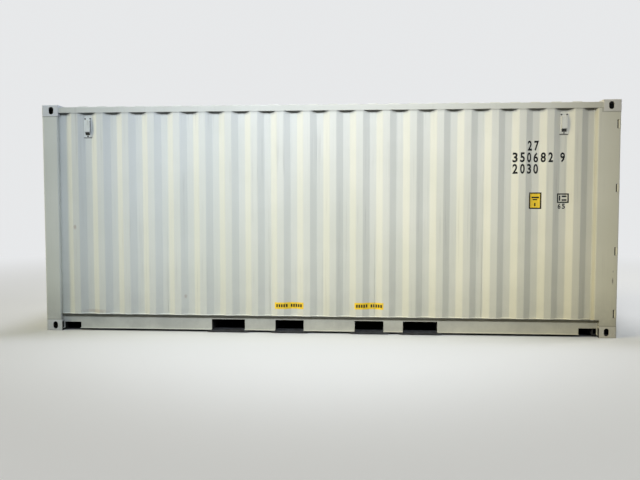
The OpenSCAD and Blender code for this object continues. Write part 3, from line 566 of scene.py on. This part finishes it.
def boardWood(look):
    material, tree, shader = newMaterial("boardWood")
    point = objectPoint(tree)
    z = axesOf(tree, point)[2]
    grain = noise(tree, point, 2.4, 9.0, 0.62, (1.0, 26.0, 26.0), 0.6)
    face = mixed(tree, ramp(tree, grain, 0.38, 0.62), look["face"], look["grain"])
    tone = noise(tree, point, 0.9, 2.0)
    face = mixed(tree, ramp(tree, tone, 0.4, 0.6, 0.0, 0.35), face, look["ply"])
    wheel = noise(tree, point, 1.1, 8.0, 0.7, (0.8, 9.0, 1.0))
    scuffs = times(tree, ramp(tree, wheel, 0.60, 0.72), 0.45)
    face = mixed(tree, scuffs, face, look["scuff"])
    layers = maths(tree, "SINE", times(tree, z, 2900.0))
    side = ramp(tree, absolute(tree, facing(tree)[2]), 0.3, 0.7, 1.0, 0.0)
    edge = mixed(tree, ramp(tree, layers, -0.4, 0.4), look["ply"], look["grain"])
    feed(tree, shader.inputs["Base Color"], mixed(tree, side, face, edge))
    rough = maths(tree, "ADD", ramp(tree, grain, 0.3, 0.7, 0.36, 0.52), scuffs, True)
    feed(tree, shader.inputs["Roughness"], rough)
    feed(tree, shader.inputs["Normal"], bumped(tree, grain, 0.0007, 0.5))
    return material


# Rubber of the door seals
rubberLook = {"rubber": colour(0.018, 0.018, 0.019), "dust": colour(0.11, 0.105, 0.095)}


def sealRubber(look):
    material, tree, shader = newMaterial("sealRubber")
    point = objectPoint(tree)
    dust = noise(tree, point, 12.0, 6.0, 0.65)
    base = mixed(tree, ramp(tree, dust, 0.48, 0.75), look["rubber"], look["dust"])
    feed(tree, shader.inputs["Base Color"], base)
    feed(tree, shader.inputs["Roughness"], ramp(tree, dust, 0.3, 0.7, 0.55, 0.85))
    feed(tree, shader.inputs["Normal"], bumped(tree, noise(tree, point, 300.0, 2.0), 0.0002, 0.4))
    return material


# Plastic of the ventilators, with painted shade on their sides that face the door end
ventLook = {"plastic": colour(0.69, 0.70, 0.65), "stain": colour(0.36, 0.35, 0.31),
            "side": colour(0.14, 0.14, 0.135)}


def ventPlastic(look):
    material, tree, shader = newMaterial("ventPlastic")
    point = objectPoint(tree)
    stain = noise(tree, point, 9.0, 6.0, 0.6, (1.0, 1.0, 0.25))
    base = mixed(tree, ramp(tree, stain, 0.45, 0.8), look["plastic"], look["stain"])
    # painted shade on the sides facing the door end
    base = mixed(tree, times(tree, ramp(tree, facing(tree)[0], 0.5, 0.9), 0.75), base, look["side"])
    # painted light and shade along the near side, as on the paint
    base = paintedLightGradient(tree, point, base, paintedLightPlan)
    feed(tree, shader.inputs["Base Color"], base)
    feed(tree, shader.inputs["Roughness"], ramp(tree, stain, 0.3, 0.7, 0.45, 0.7))
    feed(tree, shader.inputs["Normal"], bumped(tree, noise(tree, point, 500.0, 2.0), 0.0001, 0.4))
    return material


# Vinyl of the marks and gauze of the ventilators, each with its plain and its faded colour; the gauze's near
# black is also painted shade inside the ventilators' hoods
vinylLooks = {
    "blackVinyl": (colour(0.010, 0.010, 0.011), colour(0.035, 0.034, 0.032)),
    "gauzeShadeGrey": (colour(0.050, 0.050, 0.047), colour(0.090, 0.088, 0.080)),
    "yellowVinyl": (colour(0.90, 0.60, 0.035), colour(0.78, 0.54, 0.08)),
}


def vinyl(name, tint, faded):
    material, tree, shader = newMaterial(name)
    point = objectPoint(tree)
    patch = noise(tree, point, 24.0, 7.0, 0.65)
    base = mixed(tree, ramp(tree, patch, 0.42, 0.8), tint, faded)
    feed(tree, shader.inputs["Base Color"], base)
    feed(tree, shader.inputs["Roughness"], ramp(tree, patch, 0.3, 0.7, 0.35, 0.6))
    shader.inputs["Specular IOR Level"].default_value = 0.2
    feed(tree, shader.inputs["Normal"], bumped(tree, patch, 0.0002, 0.3))
    return material


materials = {name: paint(name, look) for name, look in paintLooks.items()}
materials["underCoatAndShade"] = underCoatAndShade(underLook)
materials["zincSteel"] = zincSteel(zincLook)
materials["wornSteel"] = wornSteel(wornLook)
materials["boardWood"] = boardWood(boardLook)
materials["sealRubber"] = sealRubber(rubberLook)
materials["ventPlastic"] = ventPlastic(ventLook)
for vinylName, (vinylTint, vinylFaded) in vinylLooks.items():
    materials[vinylName] = vinyl(vinylName, vinylTint, vinylFaded)
print("materials made:", len(materials))


# What each CAD node is finished with
finishes = {
    "panelPaint": ["left_wall", "right_wall", "front_wall"],
    "roofPaint": ["roof", "roof_corner_plates"],
    "castingPaint": ["bottom_castings_left", "bottom_castings_right", "top_castings_left",
                     "top_castings_right"],
    "framePaint": ["front_post_left", "front_post_right", "rear_post_left", "rear_post_right",
                   "rear_post_channels", "front_sill", "front_header", "door_header", "door_sill",
                   "hinge_lugs", "cam_keepers"],
    "railShadedPaint": ["bottom_rail_left", "bottom_rail_right", "top_rail_left", "top_rail_right"],
    "doorPaint": ["left_door_frame", "left_door_panel", "left_door_hinges",
                  "right_door_frame", "right_door_panel", "right_door_hinges"],
    "underCoatAndShade": ["cross_members", "fork_pocket_plates"],
    "zincSteel": ["lashing_rings", "left_lock_rods", "left_rod_brackets", "left_lock_handles",
                  "right_lock_rods", "right_rod_brackets", "right_lock_handles"],
    "wornSteel": ["floor_bar"],
    "boardWood": ["floor_boards"],
    "sealRubber": ["left_door_seal", "right_door_seal"],
    "ventPlastic": ["ventilators"],
}
for materialName, nodeNames in finishes.items():
    for nodeName in nodeNames:
        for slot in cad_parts[nodeName].material_slots:
            slot.material = materials[materialName]
print("CAD nodes painted")


# Mesh helpers
def addPiece(name, mesh, materialName, body):
    piece = bpy.data.objects.new(name, mesh)
    scene.collection.objects.link(piece)
    mesh.materials.clear()
    mesh.materials.append(materials[materialName])
    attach(piece, body)
    return piece


def pieceFrom(bm, name, materialName, body, smooth=False):
    bmesh.ops.recalc_face_normals(bm, faces=bm.faces)
    mesh = bpy.data.meshes.new(name)
    bm.to_mesh(mesh)
    bm.free()
    for polygon in mesh.polygons:
        polygon.use_smooth = smooth
    return addPiece(name, mesh, materialName, body)


def addBlock(bm, low, high, bevel=0.0):
    made = bmesh.ops.create_cube(bm, size=1.0)["verts"]
    size = Vector(high) - Vector(low)
    bmesh.ops.scale(bm, verts=made, vec=size)
    bmesh.ops.translate(bm, verts=made, vec=(Vector(low) + Vector(high)) / 2)
    if bevel:
        edges = list({edge for vert in made for edge in vert.link_edges})
        bmesh.ops.bevel(bm, geom=edges, offset=bevel, segments=1, profile=0.5, affect="EDGES", material=-1)


def vertsIn(parts):
    return [part for part in parts if isinstance(part, bmesh.types.BMVert)]


def turnedTo(direction):
    return Vector((0, 0, 1)).rotation_difference(Vector(direction)).to_matrix().to_4x4()


# A bolt, screw or rivet head, with a washer under it where one is given
headPlan = {"taper": 0.93, "washerWide": 1.5, "washerTop": 1.45, "washerSides": 14}


def addHead(bm, place, direction, radius, height, sides, washer=0.0):
    plan = headPlan
    turn = Matrix.Translation(place) @ turnedTo(direction)
    head = turn @ Matrix.Translation((0, 0, height / 2 + washer / 2))
    bmesh.ops.create_cone(bm, cap_ends=True, segments=sides, radius1=radius, radius2=radius * plan["taper"],
                          depth=height, matrix=head)
    if washer:
        ring = turn @ Matrix.Translation((0, 0, washer / 2))
        bmesh.ops.create_cone(bm, cap_ends=True, segments=plan["washerSides"], depth=washer, matrix=ring,
                              radius1=radius * plan["washerWide"], radius2=radius * plan["washerTop"])


def meshOf(curve):
    holder = bpy.data.objects.new(curve.name + "Holder", curve)
    scene.collection.objects.link(holder)
    bpy.context.view_layer.update()
    mesh = bpy.data.meshes.new_from_object(holder.evaluated_get(bpy.context.evaluated_depsgraph_get()))
    bpy.data.objects.remove(holder)
    return mesh


def beadPiece(name, lines, radius, materialName, body, closed=True):
    curve = bpy.data.curves.new(name, "CURVE")
    curve.dimensions = "3D"
    curve.bevel_depth = radius
    curve.bevel_resolution = 1
    curve.use_fill_caps = True
    for line in lines:
        spline = curve.splines.new("POLY")
        spline.points.add(len(line) - 1)
        for place, point in zip(line, spline.points):
            point.co = (*place, 1.0)
        spline.use_cyclic_u = closed
    mesh = meshOf(curve)
    bm = bmesh.new()
    bm.from_mesh(mesh)
    bmesh.ops.remove_doubles(bm, verts=bm.verts, dist=tiny)
    bpy.data.meshes.remove(mesh)
    return pieceFrom(bm, name, materialName, body, True)


def cutLines(nodeName, place, normal):
    bm = solidCopy(nodeName)
    bmesh.ops.bisect_plane(bm, geom=bm.verts[:] + bm.edges[:] + bm.faces[:], plane_co=place, plane_no=normal,
                           clear_inner=True, clear_outer=True)
    bmesh.ops.remove_doubles(bm, verts=bm.verts, dist=cutJoin)
    lines = []
    left = set(bm.verts)
    while left:
        here = left.pop()
        line = [here.co.copy()]
        while here is not None:
            ahead = [edge.other_vert(here) for edge in here.link_edges]
            here = next((vert for vert in ahead if vert in left), None)
            if here is not None:
                left.remove(here)
                line.append(here.co.copy())
        if len(line) > 3:
            lines.append(line)
    bm.free()
    return lines


# Floor boards with their screws
boardPlan = {"length": 2.4, "shortest": 0.1, "joint": 0.0015, "edge": 0.0012,
             "screw": {"radius": 0.006, "height": 0.001, "sides": 12}, "screwSink": 0.0008,
             "screwsAcross": 5, "screwInset": 0.045, "screwEnd": 0.02, "memberMost": 0.1}


def memberLines(plan, low, high):
    for memberLow, memberHigh in islandBoxes("cross_members"):
        x = (memberLow.x + memberHigh.x) / 2
        isMember = memberHigh.x - memberLow.x < plan["memberMost"]
        if isMember and low.x + plan["screwEnd"] < x < high.x - plan["screwEnd"]:
            yield x


def makeFloor(plan):
    low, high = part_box("floor_boards")
    barLow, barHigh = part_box("floor_bar")
    joint = plan["joint"]
    boards = bmesh.new()
    screws = bmesh.new()
    for y0, y1 in ((low.y, barLow.y - joint), (barHigh.y + joint, high.y)):
        x0 = low.x
        while x0 < high.x - plan["shortest"]:
            x1 = min(x0 + plan["length"], high.x)
            addBlock(boards, (x0 + joint / 2, y0, low.z), (x1 - joint / 2, y1, high.z), plan["edge"])
            x0 = x1
        step = (y1 - y0 - 2 * plan["screwInset"]) / (plan["screwsAcross"] - 1)
        for x in memberLines(plan, low, high):
            for k in range(plan["screwsAcross"]):
                place = (x, y0 + plan["screwInset"] + k * step, high.z - plan["screwSink"])
                addHead(screws, place, (0, 0, 1), **plan["screw"])
    floor = pieceFrom(boards, "floorPanels", "boardWood", "container")
    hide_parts("floor_boards")
    pieceFrom(screws, "floorScrews", "wornSteel", "container")


makeFloor(boardPlan)
print("floor made")


# Welds where sheets and rails meet, and the upright seams between the side sheets
weldPlan = {"radius": 0.004, "sink": 0.4,
            "seams": [1.346, 2.459, 3.572, 4.685], "seamDepth": 0.0436, "seamRadius": 0.0016}


def makeWelds(plan):
    radius = plan["radius"]
    rise = radius * plan["sink"]
    # the weld at the wall's foot takes the paler paint, a painted highlight
    places = (("Base", railTopZ + rise, "beadHighlightPaint"), ("Top", topRailZ - rise, "panelPaint"))
    for side in ("left", "right", "front"):
        for place, z, look in places:
            lines = cutLines(side + "_wall", (0, 0, z), (0, 0, 1))
            beadPiece(side + "Wall" + place + "Welds", lines, radius, look, "container")
    for side in ("left", "right"):
        panelLow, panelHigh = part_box(side + "_door_panel")
        lines = []
        for z in (panelLow.z + rise, panelHigh.z - rise):
            lines += cutLines(side + "_door_panel", (0, 0, z), (0, 0, 1))
        beadPiece(side + "DoorWelds", lines, radius, "doorPaint", side + "_door")


def makeSeams(plan):
    depth = halfWide - plan["seamDepth"]
    for side, out in (("left", -1), ("right", 1)):
        lines = [[(frontX + first, out * depth, z) for z in (railTopZ, topRailZ)] for first in plan["seams"]]
        beadPiece(side + "SheetSeams", lines, plan["seamRadius"], "panelPaint", "container",
                  closed=False)


makeWelds(weldPlan)
makeSeams(weldPlan)
print("welds made")


# Markings: plain numbers and plain labels that follow the corrugations
markPlan = {
    "high": 0.102, "wide": 0.047, "pitch": 0.0708, "bold": 0.030, "curveSteps": 4, "join": 0.0002,
    "lift": 0.0004, "sink": 0.00005,
    "rows": [("27", 2.128, 1.927), ("350682", 1.980, 1.807), ("2030", 1.981, 1.690), ("9", 2.462, 1.807)],
    "small": ("65", 2.436, 1.330), "smallHigh": 0.054, "smallWide": 0.030, "smallPitch": 0.044,
}


def wallSurface():
    bm = solidCopy("left_wall")
    tree = BVHTree.FromBMesh(bm)
    folds = sorted({round(vert.co.x, 4) for vert in bm.verts})
    bm.free()
    return tree, folds


wallTree, wallFolds = wallSurface()


def layOnWall(bm, lift):
    low = min(vert.co.x for vert in bm.verts)
    high = max(vert.co.x for vert in bm.verts)
    for fold in wallFolds:
        if low < fold < high:
            bmesh.ops.bisect_plane(bm, geom=bm.verts[:] + bm.edges[:] + bm.faces[:], plane_co=(fold, 0, 0),
                                   plane_no=(1, 0, 0), dist=0.0001)
    for vert in bm.verts:
        hit = wallTree.ray_cast((vert.co.x, sideY - 1.0, vert.co.z), (0, 1, 0))[0]
        vert.co.y = hit.y - markPlan["sink"]
    outside = bmesh.ops.extrude_face_region(bm, geom=bm.faces[:])["geom"]
    bmesh.ops.translate(bm, verts=vertsIn(outside), vec=(0, -lift, 0))


def addPlate(bm, low, high):
    made = bmesh.ops.create_grid(bm, x_segments=1, y_segments=1, size=0.5)["verts"]
    bmesh.ops.rotate(bm, verts=made, cent=(0, 0, 0), matrix=Matrix.Rotation(math.radians(90), 3, "X"))
    bmesh.ops.scale(bm, verts=made, vec=(high[0] - low[0], 1, high[1] - low[1]))
    bmesh.ops.translate(bm, verts=made, vec=((low[0] + high[0]) / 2, 0, (low[1] + high[1]) / 2))


def addDigit(bm, digit, x, z, wide, high, plan):
    text = bpy.data.curves.new("digit", "FONT")
    text.body = digit
    text.fill_mode = "FRONT"
    text.resolution_u = plan["curveSteps"]
    text.offset = plan["bold"]
    mesh = meshOf(text)
    flat = bmesh.new()
    flat.from_mesh(mesh)
    bmesh.ops.remove_doubles(flat, verts=flat.verts, dist=plan["join"])
    bmesh.ops.dissolve_degenerate(flat, edges=flat.edges, dist=plan["join"])
    lowX, lowY = (min(v.co[i] for v in flat.verts) for i in (0, 1))
    highX, highY = (max(v.co[i] for v in flat.verts) for i in (0, 1))
    for vert in flat.verts:
        across, up = (vert.co.x - lowX) / (highX - lowX), (vert.co.y - lowY) / (highY - lowY)
        vert.co = (across * wide + x - wide / 2, 0, up * high + z)
    flat.to_mesh(mesh)
    flat.free()
    bm.from_mesh(mesh)
    bpy.data.meshes.remove(mesh)


def makeMarks(plan):
    numbers = bmesh.new()
    for digits, x, z in plan["rows"]:
        for k, digit in enumerate(digits):
            addDigit(numbers, digit, x + k * plan["pitch"], z, plan["wide"], plan["high"], plan)
    digits, x, z = plan["small"]
    for k, digit in enumerate(digits):
        addDigit(numbers, digit, x + k * plan["smallPitch"], z, plan["smallWide"], plan["smallHigh"], plan)
    layOnWall(numbers, plan["lift"])
    pieceFrom(numbers, "wallNumbers", "blackVinyl", "container")


makeMarks(markPlan)
print("marks made")


# Yellow and black labels with plain bars. A box is its low and high x and z, and the bars of the
# two small labels are measured from the label's lower left corner
labelPlan = {
    "pocketLabels": [(-0.517, -0.207, 0.262, 0.332), (0.333, 0.639, 0.266, 0.336)],
    "smallLabel": (2.128, 2.253, 1.329, 1.499),
    "smallBars": [(0.030, 0.103, 0.110, 0.126), (0.040, 0.085, 0.090, 0.102), (0.056, 0.070, 0.028, 0.062)],
    "outline": (2.411, 2.529, 1.391, 1.489),
    "outlineBars": [(0.022, 0.036, 0.022, 0.076), (0.050, 0.098, 0.022, 0.038), (0.050, 0.098, 0.060, 0.076)],
    "border": 0.013, "barWide": 0.017, "barGap": 0.0085, "barHigh": 0.032, "barFirst": 0.018,
    "barLast": 0.010, "barsInGroup": 5, "lift": 0.0004,
}


def addFrame(bm, low, high, width):
    addPlate(bm, low, (high[0], low[1] + width))
    addPlate(bm, (low[0], high[1] - width), high)
    addPlate(bm, (low[0], low[1] + width), (low[0] + width, high[1] - width))
    addPlate(bm, (high[0] - width, low[1] + width), (high[0], high[1] - width))


def addBars(bm, plan, label):
    x0, x1, z0, z1 = label
    x = x0 + plan["barFirst"]
    z = (z0 + z1 - plan["barHigh"]) / 2
    count = 0
    while x + plan["barWide"] < x1 - plan["barLast"]:
        if count != plan["barsInGroup"]:
            addPlate(bm, (x, z), (x + plan["barWide"], z + plan["barHigh"]))
        x += plan["barWide"] + plan["barGap"]
        count += 1


def makeLabels(plan):
    yellow = bmesh.new()
    for x0, x1, z0, z1 in plan["pocketLabels"] + [plan["smallLabel"]]:
        addPlate(yellow, (x0, z0), (x1, z1))
    layOnWall(yellow, plan["lift"])
    pieceFrom(yellow, "yellowLabels", "yellowVinyl", "container")
    black = bmesh.new()
    for label in plan["pocketLabels"]:
        addBars(black, plan, label)
    for label, bars in (("smallLabel", "smallBars"), ("outline", "outlineBars")):
        x0, x1, z0, z1 = plan[label]
        addFrame(black, (x0, z0), (x1, z1), plan["border"])
        for left, right, low, high in plan[bars]:
            addPlate(black, (x0 + left, z0 + low), (x0 + right, z0 + high))
    layOnWall(black, plan["lift"] * 2)
    pieceFrom(black, "labelBars", "blackVinyl", "container")


makeLabels(labelPlan)
print("labels made")


# Bolts of the rod brackets and hinges
boltPlan = {"bracket": {"radius": 0.0055, "height": 0.004, "sides": 6, "washer": 0.0015},
            "bracketEnd": 0.011, "bracketRise": 0.012, "bracketSink": 0.004,
            "hinge": {"radius": 0.010, "height": 0.006, "sides": 8, "washer": 0.0025},
            "hingeFirst": 0.028, "hingeStep": 0.055, "hingeRise": 0.022, "hingeFace": 0.060}


def makeBolts(plan):
    for side in ("left", "right"):
        bolts = bmesh.new()
        for low, high in islandBoxes(side + "_rod_brackets"):
            midZ = (low.z + high.z) / 2
            for y in (low.y + plan["bracketEnd"], high.y - plan["bracketEnd"]):
                for z in (midZ - plan["bracketRise"], midZ + plan["bracketRise"]):
                    addHead(bolts, (low.x + plan["bracketSink"], y, z), (1, 0, 0), **plan["bracket"])
        for low, high in islandBoxes(side + "_door_hinges"):
            midZ = (low.z + high.z) / 2
            inner = high.y if side == "left" else low.y
            step = -1 if side == "left" else 1
            for k in (0, 1):
                y = inner + step * (plan["hingeFirst"] + plan["hingeStep"] * k)
                for z in (midZ - plan["hingeRise"], midZ + plan["hingeRise"]):
                    addHead(bolts, (doorX - plan["hingeFace"], y, z), (1, 0, 0), **plan["hinge"])
        pieceFrom(bolts, side + "DoorBolts", "zincSteel", side + "_door")


# Screws and gauze of the ventilators. The gauze is a dark block filling each hood, its slanted face across
# the mouth, standing for gauze and for the shade inside the hood. The gauze's outline is depth and rise from
# the seat's lower edge
ventPlan = {"screw": {"radius": 0.0085, "height": 0.003, "sides": 8}, "screwAway": 0.028, "screwOut": 0.010,
            "screwBelowTop": 0.013, "screwAboveBase": 0.011, "gauzeWide": 0.0472,
            "gauze": [(0.0065, 0.0225), (0.0085, 0.0225), (0.0255, 0.0530), (0.0255, 0.1500),
                      (0.0065, 0.1500)]}


def makeVents(plan):
    screws = bmesh.new()
    gauze = bmesh.new()
    for low, high in islandBoxes("ventilators"):
        out = -1 if low.y < 0 else 1
        seat = high.y if out < 0 else low.y
        midX = (low.x + high.x) / 2
        upper = high.z - plan["screwBelowTop"]
        lower = low.z + plan["screwAboveBase"]
        for x, z in ((midX - plan["screwAway"], upper), (midX + plan["screwAway"], upper), (midX, lower)):
            addHead(screws, (x, seat + out * plan["screwOut"], z), (0, out, 0), **plan["screw"])
        startX = midX - plan["gauzeWide"] / 2
        start = [gauze.verts.new((startX, seat + out * depth, low.z + rise)) for depth, rise in plan["gauze"]]
        grown = bmesh.ops.extrude_face_region(gauze, geom=[gauze.faces.new(start)])["geom"]
        bmesh.ops.translate(gauze, verts=vertsIn(grown), vec=(plan["gauzeWide"], 0, 0))
    pieceFrom(screws, "ventScrews", "underCoatAndShade", "container")
    pieceFrom(gauze, "ventGauzeShade", "gauzeShadeGrey", "container")


makeBolts(boltPlan)
makeVents(ventPlan)
print("bolts made")


# Door seals with two lips, held by strips with rivets. The profile is share of reach and depth
sealPlan = {
    "profile": [(0.0, 0.0), (0.30, 0.0), (1.0, 0.0006), (1.0, 0.0024), (0.44, 0.0058), (0.36, 0.010),
                (0.44, 0.0142), (1.0, 0.0176), (1.0, 0.0194), (0.30, 0.0188), (0.0, 0.0188)],
    "reach": 0.0075, "meetingReach": 0.009, "stripWide": 0.026, "stripDeep": 0.002, "stripInset": 0.004,
    "rivetEvery": 0.15, "rivet": {"radius": 0.004, "height": 0.0014, "sides": 8},
}


def makeLips(plan, side):
    low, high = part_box(side + "_door_frame")
    meeting = high.y if side == "left" else low.y
    bm = bmesh.new()
    for y, z in ((low.y, low.z), (high.y, low.z), (high.y, high.z), (low.y, high.z)):
        outY = -1 if y == low.y else 1
        outZ = -1 if z == low.z else 1
        reach = plan["meetingReach"] if y == meeting else plan["reach"]
        ring = [bm.verts.new((low.x + deep, y + outY * out * reach, z + outZ * out * plan["reach"]))
                for out, deep in plan["profile"]]
        for vert, after in zip(ring, ring[1:] + ring[:1]):
            bm.edges.new((vert, after))
    bmesh.ops.bridge_loops(bm, edges=bm.edges[:], use_cyclic=True)
    seal = pieceFrom(bm, side + "DoorLips", "sealRubber", side + "_door")
    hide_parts(side + "_door_seal")


def makeStrips(plan, side):
    low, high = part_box(side + "_door_frame")
    strips = bmesh.new()
    inset, wide = plan["stripInset"], plan["stripWide"]
    x0, x1 = low.x - plan["stripDeep"], low.x
    y0, y1, z0, z1 = low.y + inset, high.y - inset, low.z + inset, high.z - inset
    for a, b in (((y0, z0), (y1, z0 + wide)), ((y0, z1 - wide), (y1, z1)),
                 ((y0, z0 + wide), (y0 + wide, z1 - wide)), ((y1 - wide, z0 + wide), (y1, z1 - wide))):
        addBlock(strips, (x0, *a), (x1, *b))
    rivets = []
    across, upright = y1 - y0 - wide, z1 - z0 - wide
    countAcross, countUp = round(across / plan["rivetEvery"]), round(upright / plan["rivetEvery"])
    for k in range(countAcross + 1):
        y = y0 + wide / 2 + across * k / countAcross
        rivets += [(y, z0 + wide / 2), (y, z1 - wide / 2)]
    for k in range(1, countUp):
        z = z0 + wide / 2 + upright * k / countUp
        rivets += [(y0 + wide / 2, z), (y1 - wide / 2, z)]
    for y, z in rivets:
        addHead(strips, (x0, y, z), (-1, 0, 0), **plan["rivet"])
    pieceFrom(strips, side + "SealStrips", "zincSteel", side + "_door")


for side in ("left", "right"):
    makeLips(sealPlan, side)
    makeStrips(sealPlan, side)
print("seals made")


# Floor, backdrop and lights
stagePlan = {
    "floorSize": 60.0, "floorTint": colour(0.80, 0.80, 0.79), "bounceTint": colour(0.20, 0.20, 0.20),
    "underShadowTint": colour(0.05, 0.05, 0.05), "underShadowEdge": (-0.12, -0.01), "nearGlow": 0.45,
    "backTint": colour(0.80, 0.81, 0.82), "fadeFrom": 3.5, "fadeTo": 12.0, "shadowReach": 0.8,
    "worldTint": colour(0.87, 1.0, 1.0), "worldLight": 0.07,
}
areaPlan = [
    {"name": "topLight", "place": (0.0, 0.6, 8.0), "aim": (0.0, 0.6, 0.0), "size": (7.0, 3.0), "power": 90,
     "tint": (0.96, 0.98, 1.0)},
    {"name": "farLight", "place": (0.5, 8.5, 4.4), "aim": (0.0, 1.2, 1.1), "size": (5.0, 3.0), "power": 420,
     "tint": (0.98, 0.99, 1.0), "mirrored": False},
    {"name": "doorLight", "place": (9.5, 1.5, 3.6), "aim": (3.0, 0.0, 1.2), "size": (3.0, 3.0), "power": 260,
     "tint": (0.97, 0.98, 1.0)},
]
spotPlan = [
    {"name": "frontLight", "place": (0.0, -9.0, 6.5), "aim": (0.1, -1.2, 1.35), "cone": 47, "radius": 0.8,
     "power": 3400, "tint": (0.862, 0.92, 1.0)},
    {"name": "leftLight", "place": (-5.5, -7.0, 5.5), "aim": (-2.9, -1.2, 1.6), "cone": 58, "radius": 0.8,
     "power": 430, "tint": (0.90, 1.0, 1.0)},
]
sunPlan = [
    {"name": "leftSun", "round": -70, "up": 22, "spread": 30, "strength": 1.53, "tint": (1.0, 0.88, 0.50)},
    {"name": "rightSun", "round": 70, "up": 15, "spread": 50, "strength": 0.26, "tint": (1.0, 1.0, 0.98)},
]


def floorMaterial(plan):
    material, tree, shader = newMaterial("studioFloor")
    point = objectPoint(tree)
    x, y = axesOf(tree, point)[:2]
    outside = larger(tree, minus(tree, absolute(tree, x), doorX), minus(tree, absolute(tree, y), halfWide))
    path = tree.nodes.new("ShaderNodeLightPath")
    camera = path.outputs["Is Camera Ray"]
    under = ramp(tree, outside, *plan["underShadowEdge"], 1.0, 0.0)  # painted shadow below the container
    tint = mixed(tree, under, plan["floorTint"], plan["underShadowTint"])
    feed(tree, shader.inputs["Base Color"], mixed(tree, camera, plan["bounceTint"], tint))
    shader.inputs["Roughness"].default_value = 0.9
    shader.inputs["Specular IOR Level"].default_value = 0.1
    glow = tree.nodes.new("ShaderNodeEmission")
    glow.inputs["Color"].default_value = plan["backTint"]
    far = ramp(tree, lengthOf(tree, point), plan["fadeFrom"], plan["fadeTo"], plan["nearGlow"], 1.0)
    seen = larger(tree, camera, path.outputs["Is Glossy Ray"])
    clear = ramp(tree, outside, 0.0, plan["shadowReach"])
    blend = tree.nodes.new("ShaderNodeMixShader")
    feed(tree, blend.inputs[0], times(tree, far, seen, clear))
    feed(tree, blend.inputs[1], shader.outputs[0])
    feed(tree, blend.inputs[2], glow.outputs[0])
    output = next(node for node in tree.nodes if node.type == "OUTPUT_MATERIAL")
    feed(tree, output.inputs[0], blend.outputs[0])
    return material


def makeStage(plan):
    bm = bmesh.new()
    bmesh.ops.create_grid(bm, x_segments=1, y_segments=1, size=plan["floorSize"] / 2)
    mesh = bpy.data.meshes.new("studioFloor")
    bm.to_mesh(mesh)
    bm.free()
    mesh.materials.append(floorMaterial(plan))
    floor = bpy.data.objects.new("studioFloor", mesh)
    scene.collection.objects.link(floor)


def makeWorld(plan):
    world = bpy.data.worlds.new("studio")
    world.use_nodes = True
    tree = world.node_tree
    tree.nodes.clear()
    path = tree.nodes.new("ShaderNodeLightPath")
    soft = tree.nodes.new("ShaderNodeBackground")
    soft.inputs["Color"].default_value = plan["worldTint"]
    soft.inputs["Strength"].default_value = plan["worldLight"]
    back = tree.nodes.new("ShaderNodeBackground")
    back.inputs["Color"].default_value = plan["backTint"]
    blend = tree.nodes.new("ShaderNodeMixShader")
    feed(tree, blend.inputs[0], path.outputs["Is Camera Ray"])
    feed(tree, blend.inputs[1], soft.outputs[0])
    feed(tree, blend.inputs[2], back.outputs[0])
    output = tree.nodes.new("ShaderNodeOutputWorld")
    feed(tree, output.inputs[0], blend.outputs[0])
    scene.world = world


def addLight(data, values, place, aim):
    data.color = values["tint"]
    light = bpy.data.objects.new(values["name"], data)
    light.location = place
    light.rotation_euler = (Vector(aim) - Vector(place)).to_track_quat("-Z", "Y").to_euler()
    light.visible_camera = False
    light.visible_glossy = values.get("mirrored", True)
    scene.collection.objects.link(light)


def makeLights(areas, spots, suns):
    for values in areas:
        data = bpy.data.lights.new(values["name"], "AREA")
        data.shape = "RECTANGLE"
        data.size, data.size_y = values["size"]
        data.energy = values["power"]
        addLight(data, values, values["place"], values["aim"])
    for values in spots:
        data = bpy.data.lights.new(values["name"], "SPOT")
        data.energy = values["power"]
        data.spot_size = math.radians(values["cone"])
        data.spot_blend = 1.0
        data.shadow_soft_size = values["radius"]
        addLight(data, values, values["place"], values["aim"])
    for values in suns:
        data = bpy.data.lights.new(values["name"], "SUN")
        data.energy = values["strength"]
        data.angle = math.radians(values["spread"])
        around, up = math.radians(values["round"]), math.radians(values["up"])
        place = (math.sin(around) * math.cos(up), -math.cos(around) * math.cos(up), math.sin(up))
        addLight(data, values, place, (0, 0, 0))


makeStage(stagePlan)
makeWorld(stagePlan)
makeLights(areaPlan, spotPlan, sunPlan)
scene.view_settings.view_transform = "Standard"
print("stage and lights made")
